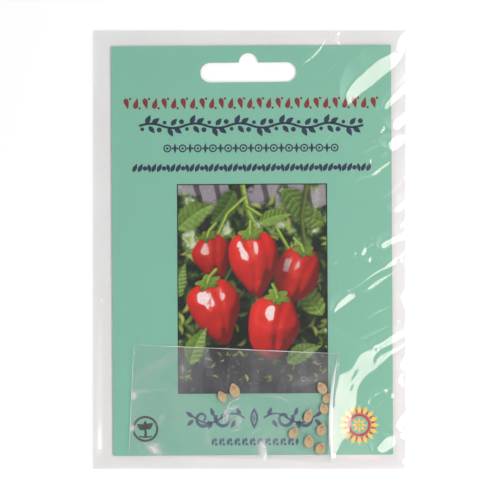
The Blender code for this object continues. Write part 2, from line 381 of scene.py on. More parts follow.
@dataclass(frozen=True)
class BoardFinish:
    """Coated board: a printed green face, white edges and a bare white back."""

    name: str = "coated_board"
    green: Colour = (0.207, 0.494, 0.365)
    green_thin: Colour = (0.227, 0.516, 0.389)
    white: Colour = (0.82, 0.82, 0.80)
    white_low: Colour = (0.74, 0.735, 0.71)
    printed_above: float = CARD_TOP - 0.03 * MM
    roughness: float = 0.38
    fibre_height: float = 0.004 * MM

    def material(self, effects: Effects) -> Material:
        """Returns the board's material. Only its top face, by height, has the print.

        Args:
            effects: The shared shader groups.

        Returns:
            The material.
        """
        material, tree = empty_material(self.name)
        cloud = effects.mask(tree, 45.0)
        speck = effects.mask(tree, 2200.0, 1.0)
        fibre = effects.mask(tree, 900.0, 5.0)
        green = tree.mix(tree.calculate("MULTIPLY", cloud, speck), rgba(self.green),
                         rgba(self.green_thin))
        white = tree.mix(fibre, rgba(self.white_low), rgba(self.white))
        split = tree.add("ShaderNodeSeparateXYZ", {0: tree.object_place()})
        top = tree.calculate("GREATER_THAN", split.outputs["Z"], self.printed_above)
        tree.face({"Base Color": tree.mix(top, white, green), "Roughness": self.roughness,
                   "Normal": tree.bump(fibre, self.fibre_height)})
        return material


@dataclass(frozen=True)
class PictureFinish:
    """The printed picture: its painted colours under a fine screen of ink."""

    name: str = "picture_ink"
    attribute: str = "painted"
    roughness: float = 0.28
    gloss: float = 0.35
    thin_share: float = 0.86

    def material(self, effects: Effects) -> Material:
        """Returns the picture's material, which reads the painted colours from the mesh.

        Args:
            effects: The shared shader groups.

        Returns:
            The material.
        """
        material, tree = empty_material(self.name)
        painted = tree.attribute(self.attribute, "Color")
        thin = tree.add("ShaderNodeVectorMath", {0: painted, "Scale": self.thin_share},
                        operation="SCALE")
        colour = tree.mix(effects.mask(tree, 1500.0, 1.0), thin.outputs[0], painted)
        tree.face({"Base Color": colour, "Roughness": self.roughness,
                   "Specular IOR Level": self.gloss})
        return material


@dataclass(frozen=True)
class SeedFinish:
    """A dry pepper seed: tan with a paler rim, browner by its beak, darker round its outline with
    painted shade, and finely pitted.
    """

    name: str = "seed_coat"
    tan: Colour = (0.50, 0.345, 0.175)
    pale: Colour = (0.60, 0.46, 0.26)
    brown: Colour = (0.45, 0.16, 0.05)
    beak: Colour = (0.68, 0.56, 0.38)
    masks: tuple[str, ...] = ("rim", "stain_and_edge_shade", "beak")
    roughness: float = 0.52
    pit_scale: float = 5200.0
    pit_depth: float = 0.03 * MM

    def material(self, effects: Effects) -> Material:
        """Returns the seed coat's material, which reads the rim, the brown mask and the beak. The
        brown mask holds the beak's browning and painted shade at the outline.

        Args:
            effects: The shared shader groups.

        Returns:
            The material.
        """
        material, tree = empty_material(self.name)
        colour = tree.mix(effects.mask(tree, 1400.0, 3.0), rgba(self.tan), rgba(self.pale))
        for name, over in zip(self.masks, (self.pale, self.brown, self.beak)):
            colour = tree.mix(tree.attribute(name), colour, rgba(over))
        pits = effects.mask(tree, self.pit_scale, 1.0)
        tree.face({"Base Color": colour, "Roughness": self.roughness,
                   "Normal": tree.bump(pits, self.pit_depth)})
        return material


def in_scene(name: str, data: bpy.types.ID) -> bpy.types.Object:
    """Returns a new object in the scene.

    Args:
        name: Its name.
        data: Its mesh, curve, camera or light.

    Returns:
        The object.
    """
    made = bpy.data.objects.new(name, data)
    bpy.context.scene.collection.objects.link(made)
    return made


def finished_mesh(name: str, made: bmesh.types.BMesh) -> Mesh:
    """Returns what was modelled as a mesh.

    Args:
        name: The mesh's name.
        made: What was modelled. It is freed.

    Returns:
        The mesh.
    """
    mesh = bpy.data.meshes.new(name)
    made.to_mesh(mesh)
    made.free()
    return mesh


def write_mask(mesh: Mesh, name: str, values: Array) -> None:
    """Keeps a mask at the mesh's points, for its material to read."""
    mesh.attributes.new(name, "FLOAT", "POINT").data.foreach_set("value", values)


def object_of(name: str, mesh: Mesh, material: Material) -> bpy.types.Object:
    """Returns a new object in the scene with a mesh and its only material.

    Args:
        name: Its name.
        mesh: Its mesh.
        material: Its material.

    Returns:
        The object.
    """
    piece = in_scene(name, mesh)
    mesh.materials.clear()
    mesh.materials.append(material)
    return piece


def on_packet(piece: bpy.types.Object, slot: str, *nodes: str) -> None:
    """Fixes a piece to the packet.

    Args:
        piece: The finished piece.
        slot: The record's material slot; not used.
        nodes: The solids that it stands for.
    """
    if nodes:
        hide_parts(*nodes)
    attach(piece, "root")
    LOG.info("%s: %d faces", piece.name, len(piece.data.polygons))


@dataclass(frozen=True)
class HangSlot:
    """The punched hang slot: a long hole with round ends and a half-round dome on top."""

    length: float = 32.3 * MM
    height: float = 6.6 * MM
    dome_radius: float = 3.2 * MM
    centre: Point = (-0.31 * MM, 59.5 * MM)
    turn: float = math.radians(0.5)
    arc_steps: int = 22

    def outline(self) -> Array:
        """Returns the hole's outline, anticlockwise.

        Returns:
            The outline's points in the packet.
        """
        radius = self.height / 2
        half = self.length / 2 - radius
        arcs = ((half, 0.0, radius, -90.0), (0.0, radius, self.dome_radius, 0.0),
                (-half, 0.0, radius, 90.0))
        points = []
        for cx, cy, r, start in arcs:
            angles = np.radians(np.linspace(start, start + 180.0, self.arc_steps + 1))
            points.append(np.stack([cx + r * np.cos(angles), cy + r * np.sin(angles)], 1))
        x, y = turned(*np.concatenate(points).T, self.turn)
        return np.stack([x + self.centre[0], y + self.centre[1]], 1)


@dataclass
class Net:
    """A flat net of points and faces, from which plates of film are raised."""

    points: Array
    faces: list[tuple[int, ...]]

    def border(self) -> list[tuple[int, int]]:
        """Returns the edges that have a face on one side only, in that face's direction.

        Returns:
            The edges, as pairs of point numbers.
        """
        edges = [(f[k], f[(k + 1) % len(f)]) for f in self.faces for k in range(len(f))]
        seen = set(edges)
        return [edge for edge in edges if (edge[1], edge[0]) not in seen]

    def plate(self, name: str, top: Array, bottom: Array, material: Material,
              place: Callable[[Array, Array], tuple[Array, Array]] | None = None,
              ) -> bpy.types.Object:
        """Raises a closed plate between two heights.

        Args:
            name: The plate's name.
            top: Height of its upper face at each point.
            bottom: Height of its lower face at each point.
            material: Its material.
            place: Turns the net's own coordinates into the packet's, where they differ.

        Returns:
            The plate, smooth but for its rims.
        """
        count = len(self.points)
        x, y = self.points.T
        if place is not None:
            x, y = place(x, y)
        upper = np.stack([x, y, top], 1)
        lower = np.stack([x, y, bottom], 1)
        faces = list(self.faces)
        faces += [tuple(v + count for v in reversed(f)) for f in self.faces]
        faces += [(b, a, a + count, b + count) for a, b in self.border()]
        mesh = bpy.data.meshes.new(name)
        mesh.from_pydata(np.concatenate([upper, lower]), [], faces)
        mesh.shade_smooth()
        mesh.set_sharp_from_angle(angle=math.radians(55.0))
        return object_of(name, mesh, material)


def inside(points: Array, outline: Array) -> Array:
    """Returns which points lie inside a closed outline.

    Args:
        points: The points.
        outline: The outline's corners, in order.

    Returns:
        True for each point that is inside.
    """
    x, y = points.T
    result = np.zeros(len(points), bool)
    for (ax, ay), (bx, by) in zip(outline, np.roll(outline, -1, 0)):
        crosses = (ay > y) != (by > y)
        if ay != by:
            result ^= crosses & (x < (bx - ax) * (y - ay) / (by - ay) + ax)
    return result


def distance_to(points: Array, outline: Array) -> Array:
    """Returns each point's distance to a closed outline.

    Args:
        points: The points.
        outline: The outline's corners, in order.

    Returns:
        The distances.
    """
    nearest = np.full(len(points), np.inf)
    for start, end in zip(outline, np.roll(outline, -1, 0)):
        step = end - start
        along = np.clip(((points - start) @ step) / (step @ step), 0.0, 1.0)
        nearest = np.minimum(nearest, np.linalg.norm(points - start - along[:, None] * step,
                                                     axis=1))
    return nearest


def used_net(points: Array, faces: list[tuple[int, ...]]) -> Net:
    """Returns the net of these faces, with only the points that they use.

    Args:
        points: All the points.
        faces: The faces, by point number.

    Returns:
        The net, with its points numbered anew.
    """
    used = np.unique(np.concatenate([np.array(f) for f in faces]))
    renumber = np.full(len(points), -1)
    renumber[used] = np.arange(len(used))
    return Net(points[used], [tuple(int(renumber[v]) for v in f) for f in faces])


def triangles_round(hole: Array, points: Array, across: int, low: tuple[int, int],
                    high: tuple[int, int]) -> list[tuple[int, ...]]:
    """Fills a block of a grid with triangles, round a hole in it.

    Args:
        hole: The hole's outline, anticlockwise.
        points: The grid's points, and the hole's after them.
        across: How many points a row of the grid has.
        low: The column and the row of the block's lower left corner.
        high: The same for its upper right corner.

    Returns:
        The triangles, anticlockwise, by point number.
    """
    clearing = 0.25 * MM
    rim = [(i, low[1]) for i in range(low[0], high[0])]
    rim += [(high[0], j) for j in range(low[1], high[1])]
    rim += [(i, high[1]) for i in range(high[0], low[0], -1)]
    rim += [(low[0], j) for j in range(high[1], low[1], -1)]
    rim_nodes = [j * across + i for i, j in rim]
    inner = [j * across + i for j in range(low[1] + 1, high[1])
             for i in range(low[0] + 1, high[0])]
    spots = points[inner]
    clear = (distance_to(spots, hole) > clearing) & ~inside(spots, hole)
    kept = rim_nodes + [n for n, ok in zip(inner, clear) if ok]
    names = kept + list(range(len(points) - len(hole), len(points)))
    rim_count = len(rim_nodes)
    edges = [(k, (k + 1) % rim_count) for k in range(rim_count)]
    edges += [(len(kept) + k, len(kept) + (k + 1) % len(hole)) for k in range(len(hole))]
    flat = [Vector(points[n] / MM) for n in names]
    found = geometry.delaunay_2d_cdt(flat, edges, [], 0, 1e-5)
    original = [names[ids[0]] for ids in found[3]]
    triangles = []
    for face in found[2]:
        triangle = [original[v] for v in face]
        middle = points[triangle].mean(0)
        if not inside(middle[None], hole)[0]:
            a, b, c = points[triangle[:3]]
            turn = (b[0] - a[0]) * (c[1] - a[1]) - (b[1] - a[1]) * (c[0] - a[0])
            triangles.append(tuple(triangle if turn > 0.0 else reversed(triangle)))
    return triangles


def grid_net(columns: Array, rows: Array, hole: Array | None = None) -> Net:
    """Lays a net of four-sided faces, with a hole of any outline in it where one is given.

    Args:
        columns: The grid's upright lines.
        rows: Its level lines.
        hole: The hole's outline, anticlockwise.

    Returns:
        The net. Round the hole its faces are triangles.
    """
    across, up = len(columns), len(rows)
    x, y = np.meshgrid(columns, rows)
    points = np.stack([x.ravel(), y.ravel()], 1)
    low, high = (across, up), (-1, -1)
    if hole is not None:
        margin = 1.2 * MM
        low = (int(np.searchsorted(columns, hole[:, 0].min() - margin)) - 1,
               int(np.searchsorted(rows, hole[:, 1].min() - margin)) - 1)
        high = (int(np.searchsorted(columns, hole[:, 0].max() + margin)),
                int(np.searchsorted(rows, hole[:, 1].max() + margin)))
    faces: list[tuple[int, ...]] = []
    for j in range(up - 1):
        for i in range(across - 1):
            if not (low[0] <= i < high[0] and low[1] <= j < high[1]):
                n = j * across + i
                faces.append((n, n + 1, n + across + 1, n + across))
    if hole is None:
        return Net(points, faces)
    points = np.concatenate([points, hole])
    return used_net(points, faces + triangles_round(hole, points, across, low, high))


def joined(left: Net, right: Net, x: float) -> Net:
    """Joins two nets along an upright line, on which the right one may have more points.

    Args:
        left: The left net.
        right: The right net.
        x: Where the line is.

    Returns:
        One net. The left faces on the line take in the right net's points.
    """
    count = len(right.points)
    on_line = [k for k in range(count) if abs(right.points[k, 0] - x) < 1e-9]
    by_height = {round(right.points[k, 1] * 1e7): k for k in on_line}
    names = []
    for k, (px, py) in enumerate(left.points):
        shared = abs(px - x) < 1e-9
        names.append(by_height[round(py * 1e7)] if shared else count + k)
    faces = list(right.faces)
    for face in left.faces:
        corners: list[int] = []
        for a, b in zip(face, face[1:] + face[:1]):
            corners.append(names[a])
            if names[a] < count and names[b] < count:
                start, end = right.points[names[a], 1], right.points[names[b], 1]
                between = [k for k in on_line
                           if min(start, end) < right.points[k, 1] < max(start, end)]
                corners += sorted(between, key=lambda k: abs(right.points[k, 1] - start))
        faces.append(tuple(corners))
    return used_net(np.concatenate([right.points, left.points]), faces)


@dataclass(frozen=True)
class Crease:
    """A fold of film that stands up like a lean-to roof.

    Each station gives a point of the crest and the point where the flank that faces the light comes
    down again, in millimetres: crest x, crest y, foot x, foot y. The flank behind the crest is
    as wide, times back.
    """

    stations: tuple[tuple[float, float, float, float], ...]
    slope: float = 0.29
    back: float = 1.1
    smoothing: int = 4

    def rails(self) -> Array:
        """Returns the stations in metres, with smooth ones between them.

        Returns:
            The stations, one to a row.
        """
        given = np.array(self.stations) * MM
        padded = np.concatenate([2 * given[:1] - given[1:2], given, 2 * given[-1:] - given[-2:-1]])
        rows = []
        for before, start, end, after in zip(padded, padded[1:], padded[2:], padded[3:]):
            for t in np.arange(self.smoothing) / self.smoothing:
                rows.append(0.5 * (2 * start + (end - before) * t
                                   + (2 * before - 5 * start + 4 * end - after) * t * t
                                   + (3 * start - before - 3 * end + after) * t ** 3))
        return np.array(rows + [given[-1]])

    def lift(self, points: Array, rise: Array) -> None:
        """Lifts the rise at each point to this crease's height, where that is higher.

        Args:
            points: The film's points.
            rise: Their rise so far, which is changed.
        """
        rails = self.rails()
        crest, foot = rails[:, :2], rails[:, 2:]
        behind = crest + (crest - foot) * self.back
        heights = self.slope * np.linalg.norm(foot - crest, axis=1)
        low = np.minimum(behind.min(0), foot.min(0))
        high = np.maximum(behind.max(0), foot.max(0))
        near = np.flatnonzero(np.all((points >= low) & (points <= high), axis=1))
        spots = points[near]
        for outer in (behind, foot):
            for k in range(len(rails) - 1):
                corners = ((crest[k], heights[k]), (crest[k + 1], heights[k + 1]),
                           (outer[k], 0.0), (outer[k + 1], 0.0))
                for pick in ((0, 1, 2), (1, 3, 2)):
                    self.lift_triangle(spots, near, rise, [corners[p] for p in pick])

    @staticmethod
    def lift_triangle(spots: Array, near: Array, rise: Array, corners: list) -> None:
        """Lifts the points under one flat triangle of the fold.

        Args:
            spots: The points near the crease.
            near: Their numbers in the film.
            rise: The film's rise, which is changed.
            corners: The triangle's three corners with their heights.
        """
        (a, ha), (b, hb), (c, hc) = corners
        area = (b[0] - a[0]) * (c[1] - a[1]) - (b[1] - a[1]) * (c[0] - a[0])
        if abs(area) < 1e-12:
            return
        dx, dy = spots[:, 0] - a[0], spots[:, 1] - a[1]
        to_b = (dx * (c[1] - a[1]) - dy * (c[0] - a[0])) / area
        to_c = (dy * (b[0] - a[0]) - dx * (b[1] - a[1])) / area
        within = (to_b >= -1e-6) & (to_c >= -1e-6) & (to_b + to_c <= 1.0 + 1e-6)
        height = ha + to_b[within] * (hb - ha) + to_c[within] * (hc - ha)
        lifted = near[within]
        rise[lifted] = np.maximum(rise[lifted], height)


def thin_fold(slope: float, width: float, *points: Point) -> Crease:
    """Returns a narrow fold along a line, whose right flank catches the light.

    Args:
        slope: The flank's slope.
        width: The flank's width in millimetres, about the line's middle.
        points: The crest, in millimetres.

    Returns:
        The fold, which tapers at both ends.
    """
    line = np.array(points)
    way = np.gradient(line, axis=0)
    side = np.stack([way[:, 1], -way[:, 0]], 1) / np.linalg.norm(way, axis=1)[:, None]
    side *= np.where(side[:, :1] < 0.0, -1.0, 1.0)
    taper = np.sin(math.pi * np.linspace(0.12, 0.88, len(line)))[:, None]
    return Crease(tuple(map(tuple, np.hstack([line, line + side * width * taper]))), slope)


@dataclass(frozen=True)
class Dimple:
    """A ring-shaped ridge where the film has stretched round a small spot, in millimetres."""

    x: float
    y: float
    half_length: float
    half_width: float
    angle: float
    height: float
    wall: float = 0.4

    def lift(self, points: Array, rise: Array) -> None:
        """Adds the ridge to the rise at each point.

        Args:
            points: The film's points.
            rise: Their rise so far, which is changed.
        """
        along, side = turned(points[:, 0] - self.x * MM, points[:, 1] - self.y * MM,
                             -math.radians(self.angle))
        part = np.hypot(along / self.half_length, side / self.half_width) / MM
        middle = (self.half_length + self.half_width) / 2
        rise += self.height * MM * np.exp(-(((part - 1.0) * middle / self.wall) ** 2))


@dataclass(frozen=True)
class Dome:
    """A small round rise of the film, in millimetres."""

    x: float
    y: float
    radius: float
    height: float

    def lift(self, points: Array, rise: Array) -> None:
        """Adds the dome to the rise at each point of the film."""
        away = np.hypot(points[:, 0] - self.x * MM, points[:, 1] - self.y * MM)
        rise += self.height * MM * np.exp(-((away / (self.radius * MM)) ** 2))


class Relief:
    """How far the folds lift a film, kept on an even raster that any net can read."""

    def __init__(self, low: Point, high: Point, step: float) -> None:
        """Lays out the raster.

        Args:
            low: Its lower left corner.
            high: Its upper right corner.
            step: Its widest step.
        """
        self.low = low
        self.across = math.ceil((high[0] - low[0]) / step)
        self.up = math.ceil((high[1] - low[1]) / step)
        self.step = ((high[0] - low[0]) / self.across, (high[1] - low[1]) / self.up)
        columns = np.linspace(low[0], high[0], self.across + 1)
        rows = np.linspace(low[1], high[1], self.up + 1)
        x, y = np.meshgrid(columns, rows)
        self.points = np.stack([x.ravel(), y.ravel()], 1)
        self.rise = np.zeros(len(self.points))

    def soften(self, radius: float) -> None:
        """Rounds off everything that is narrower than a radius.

        Args:
            radius: The radius.
        """
        grid = self.rise.reshape(self.up + 1, self.across + 1)
        for axis, step in ((1, self.step[0]), (0, self.step[1])):
            reach = math.ceil(2.5 * radius / step)
            shifts = np.arange(-reach, reach + 1)
            weights = np.exp(-((shifts * step / radius) ** 2) / 2)
            padding = [(reach, reach) if k == axis else (0, 0) for k in (0, 1)]
            padded = np.pad(grid, padding, mode="edge")
            size = grid.shape[axis]
            parts = [np.take(padded, np.arange(size) + reach + s, axis) * w
                     for s, w in zip(shifts, weights)]
            grid = sum(parts) / weights.sum()
        self.rise = grid.ravel()

    def at(self, x: Array, y: Array) -> Array:
        """Returns the rise at any points, between those of the raster.

        Args:
            x: Sideways coordinates in the packet.
            y: Upward coordinates in the packet.

        Returns:
            The rise at each point.
        """
        grid = self.rise.reshape(self.up + 1, self.across + 1)
        column = np.clip((x - self.low[0]) / self.step[0], 0.0, self.across - 1e-6)
        row = np.clip((y - self.low[1]) / self.step[1], 0.0, self.up - 1e-6)
        return between(grid, row, column)


def faint_creases(count: int, low: Point, high: Point,
                  seed: int) -> list[Crease]:
    """Returns long shallow folds that all run down from the right, as the film is drawn.

    Args:
        count: How many there are.
        low: The lower left corner of where they start, in millimetres.
        high: The upper right corner.
        seed: The seed of the draw.

    Returns:
        The folds.
    """
    draw = np.random.default_rng(seed)
    folds = []
    for _ in range(count):
        x, y = draw.uniform(low, high)
        angle = math.radians(draw.normal(-145.0, 11.0))
        length = draw.uniform(7.0, 22.0)
        width = draw.uniform(0.8, 1.7)
        bend = draw.uniform(-0.12, 0.12) * length
        stations = []
        for t in (0.0, 0.3, 0.65, 1.0):
            off = bend * math.sin(math.pi * t)
            px = x + length * t * math.cos(angle) - off * math.sin(angle)
            py = y + length * t * math.sin(angle) + off * math.cos(angle)
            wide = width * math.sin(math.pi * (0.12 + 0.76 * t))
            stations.append((px, py, px + 0.62 * wide, py - 0.78 * wide))
        folds.append(Crease(tuple(stations), draw.uniform(0.10, 0.20), 1.2))
    return folds


# The sharp folds of the bag's front film, from its top right corner down the right side
BAG_CREASES = (
    Crease(((51.1, 73.2, 52.4, 73.3), (49.6, 70.4, 52.4, 70.2), (49.0, 67.2, 52.1, 65.8),
            (48.4, 65.8, 50.6, 63.8)), slope=0.17),
    Crease(((49.2, 66.4, 51.4, 64.6), (47.3, 65.8, 50.1, 62.8), (45.0, 64.6, 47.7, 60.3),
            (42.8, 63.5, 45.5, 58.4), (40.6, 61.8, 43.2, 56.6), (38.7, 60.0, 40.8, 54.6),
            (35.9, 57.8, 38.3, 52.7), (33.6, 54.9, 35.6, 50.5), (32.0, 51.9, 33.6, 48.5),
            (31.3, 49.6, 31.9, 47.9)), slope=0.28),
    Crease(((52.6, 56.9, 52.6, 53.4), (51.1, 55.2, 52.1, 52.6), (49.3, 53.1, 50.4, 50.8),
            (47.6, 51.6, 48.6, 49.3), (45.9, 49.7, 47.1, 47.9), (44.7, 47.6, 45.4, 46.5)),
           slope=0.29),
    Crease(((52.4, 46.6, 52.6, 46.2), (50.7, 45.2, 52.6, 44.5), (49.0, 43.8, 52.3, 42.7),
            (48.0, 42.2, 51.3, 41.3), (48.2, 40.3, 49.6, 40.1)), slope=0.3),
    Crease(((51.9, 39.1, 52.6, 39.0), (49.2, 38.3, 52.6, 37.6), (47.6, 37.1, 51.9, 35.9),
            (46.5, 35.8, 50.6, 34.6), (46.6, 34.1, 48.9, 33.4), (47.3, 33.1, 47.7, 32.9)),
           slope=0.29),
    thin_fold(0.34, 1.5, (47.0, 29.6), (44.3, 28.0), (41.4, 26.0), (37.6, 24.6), (33.4, 23.6)),
    Crease(((52.6, 17.6, 54.4, 16.0), (50.2, 15.4, 52.0, 13.8), (48.0, 13.6, 49.8, 12.0),
            (47.2, 12.6, 48.0, 11.8)), slope=0.27),
    Crease(((51.9, 10.2, 52.6, 9.9), (50.6, 8.2, 52.6, 7.2), (50.2, 6.6, 52.4, 5.9)), slope=0.3),
    Crease(((52.4, 6.0, 52.6, 3.6), (50.0, 5.3, 51.1, 2.8), (47.8, 4.4, 48.9, 1.9),
            (45.9, 3.4, 47.0, 1.0), (44.3, 2.3, 45.4, 0.0), (43.1, 1.2, 43.9, -0.4)),
           slope=0.38),
    thin_fold(0.42, 0.8, (47.8, 5.9), (44.0, 4.0), (40.4, 1.8), (38.6, -0.2)),
    thin_fold(0.45, 0.8, (30.2, -3.8), (28.2, -4.6), (26.4, -5.4)),
    Crease(((37.2, -1.8, 38.3, -2.2), (37.8, -0.6, 39.0, -1.0), (38.7, 0.7, 39.5, 0.4)),
           slope=0.36),
    Crease(((40.0, -2.4, 40.7, -2.6), (39.9, -3.4, 40.9, -3.6), (39.8, -4.2, 40.6, -4.3)),
           slope=0.45),
    Crease(((51.9, -0.2, 52.6, -0.7), (50.6, -1.7, 51.8, -2.0), (50.3, -3.0, 51.4, -3.0),
            (50.9, -4.4, 51.9, -4.0), (52.3, -5.2, 52.6, -4.5)), slope=0.28),
    Crease(((52.4, -0.8, 52.5, -1.1), (50.5, -1.9, 51.0, -2.8), (48.3, -3.1, 49.1, -4.8),
            (46.8, -4.2, 47.7, -5.9), (45.2, -5.4, 46.0, -6.9),
            (43.1, -6.7, 43.9, -8.0), (40.9, -8.2, 41.6, -9.5), (39.1, -9.6, 39.8, -10.8),
            (36.5, -11.4, 37.1, -12.5), (33.6, -12.9, 34.0, -13.8)), slope=0.34),
    Crease(((52.3, -5.4, 52.4, -5.7), (49.8, -6.5, 50.1, -7.2), (47.4, -7.7, 47.8, -8.7),
            (44.9, -8.9, 45.5, -10.2), (42.4, -10.4, 43.2, -11.9),
            (39.5, -12.5, 40.3, -14.0), (37.3, -14.1, 37.8, -15.1)), slope=0.28),
    thin_fold(0.42, 0.8, (38.6, -9.9), (35.4, -11.9), (31.2, -14.4), (27.6, -17.7)),
    Crease(((34.9, -14.9, 35.6, -15.7), (33.0, -15.0, 34.8, -16.9), (31.2, -16.2, 33.1, -18.2),
            (29.6, -17.7, 31.3, -19.5), (28.4, -19.5, 29.6, -20.8), (27.6, -21.5, 28.0, -22.0)),
           slope=0.29),
    thin_fold(0.45, 0.8, (49.4, -18.0), (44.8, -19.6), (41.0, -21.7), (36.4, -24.9)),
    thin_fold(0.48, 0.8, (49.4, -22.4), (45.0, -23.2), (40.9, -24.1), (36.8, -25.4)),
    thin_fold(0.25, 2.6, (50.0, -24.2), (43.0, -26.6), (35.0, -30.2), (25.0, -34.2)),
    thin_fold(0.25, 1.8, (47.0, -28.2), (40.0, -30.6), (33.0, -34.6), (26.0, -37.4)),
    Crease(((52.4, -12.6, 52.6, -12.9), (51.1, -14.5, 52.6, -14.8), (50.5, -16.1, 52.6, -16.5),
            (51.3, -18.3, 52.6, -18.3), (52.3, -20.3, 52.6, -20.2)), slope=0.2),
    Crease(((51.9, -24.9, 52.6, -25.0), (50.8, -26.0, 51.6, -26.4), (50.8, -27.0, 51.4, -27.2)),
           slope=0.22),
    Crease(((52.5, -27.0, 52.6, -29.2), (50.2, -27.2, 51.3, -29.8), (47.7, -28.6, 49.0, -31.1),
            (45.0, -30.4, 46.4, -33.1), (42.4, -31.8, 43.9, -34.5), (41.0, -33.2, 42.9, -35.8),
            (39.6, -34.3, 40.6, -35.4)), slope=0.36),
    Crease(((41.8, -33.1, 43.4, -35.3), (38.8, -34.6, 43.5, -38.8), (36.6, -35.4, 42.0, -40.7),
            (35.4, -37.0, 40.5, -41.8), (34.3, -39.4, 39.0, -43.0), (33.1, -40.7, 37.8, -44.3),
            (31.1, -41.7, 36.5, -46.5), (29.8, -42.8, 36.1, -48.5), (28.9, -45.0, 35.9, -50.6),
            (28.7, -47.5, 35.8, -52.0), (28.5, -50.0, 35.7, -53.0), (28.4, -53.0, 35.4, -54.0)),
           slope=0.24, back=2.4),
    Crease(((52.5, -30.9, 52.6, -32.1), (50.4, -32.0, 50.9, -33.4), (47.8, -33.2, 48.9, -34.8),
            (44.9, -34.7, 46.6, -36.3), (42.7, -36.3, 44.7, -38.1), (41.9, -37.8, 43.4, -39.1)),
           slope=0.32, back=0.5),
    Crease(((51.9, -61.6, 52.5, -62.6), (50.2, -62.2, 51.9, -64.0), (49.0, -62.4, 50.4, -64.2)),
           slope=0.27),
    Crease(((48.4, -62.4, 49.2, -63.2), (45.6, -63.4, 48.6, -66.0), (43.6, -64.9, 46.6, -67.8),
            (42.0, -66.8, 44.4, -69.0), (41.6, -68.4, 42.4, -69.4)), slope=0.27),
    Crease(((48.1, -48.9, 48.4, -50.1), (46.6, -49.5, 47.1, -50.6), (45.4, -50.2, 45.7, -50.8)),
           slope=0.3),
    Crease(((52.3, -35.3, 52.6, -35.6), (50.8, -37.3, 52.6, -37.6), (50.3, -39.3, 52.6, -39.5),
            (51.0, -40.8, 52.6, -40.8)), slope=0.2),
    Crease(((50.9, -41.5, 52.3, -41.8), (49.9, -43.1, 51.4, -43.3), (49.9, -44.7, 51.9, -45.0),
            (51.0, -46.0, 52.6, -46.0)), slope=0.2),
    Crease(((52.4, -54.3, 52.6, -54.6), (50.7, -56.0, 52.6, -56.4), (49.3, -57.9, 52.4, -58.5),
            (49.1, -59.5, 51.9, -60.0), (50.4, -61.1, 51.9, -61.1), (52.1, -62.1, 52.6, -61.8)),
           slope=0.2),
    Crease(((52.3, -69.0, 52.6, -69.4), (51.3, -70.4, 52.1, -70.5), (51.2, -71.7, 52.1, -71.7),
            (51.9, -73.1, 52.6, -72.9)), slope=0.22),
    Crease(((29.5, 73.6, 30.6, 73.5), (28.4, 72.0, 30.4, 71.7), (28.6, 70.2, 30.6, 69.9),
            (29.8, 68.8, 31.0, 68.6)), slope=0.25),
    Crease(((-27.7, 72.6, -26.9, 72.3), (-28.0, 70.5, -27.2, 70.3), (-28.8, 68.7, -27.8, 68.4),
            (-29.8, 66.7, -29.2, 66.3)), slope=0.46),
    Crease(((-11.1, 56.1, -10.1, 55.8), (-11.3, 54.3, -10.3, 54.0), (-11.6, 52.2, -11.1, 52.1)),
           slope=0.42),
    thin_fold(0.44, 0.9, (26.6, 72.4), (21.0, 69.0), (13.4, 66.4)),
    thin_fold(0.44, 0.9, (26.6, 72.4), (22.2, 66.4), (17.0, 62.4), (12.4, 61.0)),
    thin_fold(0.40, 0.9, (48.8, 36.6), (42.8, 35.4), (37.0, 31.8)),
    thin_fold(0.42, 0.9, (48.0, -46.0), (43.9, -47.4), (40.8, -49.4)),
)

# Small spots and loops where the bag's film has stretched
BAG_DIMPLES = (
    Dimple(36.6, 26.2, 5.2, 1.7, 49.0, 0.19, 0.5),
    Dimple(-38.1, -1.2, 3.3, 1.6, 18.0, 0.25, 0.4),
    Dimple(-38.4, 55.0, 1.5, 0.9, 10.0, 0.24, 0.35),
    Dimple(-37.9, 35.6, 1.3, 0.7, 10.0, 0.23, 0.35),
    Dimple(-37.9, 22.8, 1.8, 0.7, 0.0, 0.23, 0.35),
    Dimple(42.6, -50.0, 3.6, 1.7, 38.0, 0.22, 0.42),
    Dimple(31.5, -0.4, 3.6, 1.1, -12.0, 0.15, 0.45),
    *(Dome(36.7 - 0.68 * k, -41.2 - 1.12 * k, 0.75, 0.13) for k in range(6)),
    Dome(43.6, -3.2, 1.1, 0.2),
)

# The small folds at the sachet's left and lower edges
SACHET_CREASES = (
    Crease(((-34.9, -65.6, -33.2, -66.2), (-34.4, -67.4, -31.4, -68.1),
            (-33.1, -68.8, -31.0, -69.1)), slope=0.36),
    Crease(((4.0, -65.3, 5.3, -65.6), (3.6, -67.7, 5.8, -68.1), (4.0, -70.2, 5.6, -70.5),
            (4.9, -71.7, 5.7, -71.9)), slope=0.36),
)


@dataclass(frozen=True)
class Spot:
    """An oval on the sachet, in millimetres: its middle, half sizes and turn in degrees."""

    x: float
    y: float
    half_length: float
    half_width: float
    angle: float

    def strength_at(self, x: Array, y: Array) -> Array:
        """Returns 1 at the spot's middle, fading to nothing past its rim."""
        along, side = turned(x / MM - self.x, y / MM - self.y, -math.radians(self.angle))
        return np.exp(-(along / self.half_length) ** 2 - (side / self.half_width) ** 2)

    def arc(self, start: float, end: float) -> tuple[Array, Array]:
        """Returns points of the packet along the spot's rim, between two angles in degrees.

        Args:
            start: The first angle.
            end: The last angle.

        Returns:
            The points' sideways and upward coordinates.
        """
        angles = np.radians(np.linspace(start, end, 40))
        x, y = turned(self.half_length * np.cos(angles), self.half_width * np.sin(angles),
                      math.radians(self.angle))
        return (x + self.x) * MM, (y + self.y) * MM
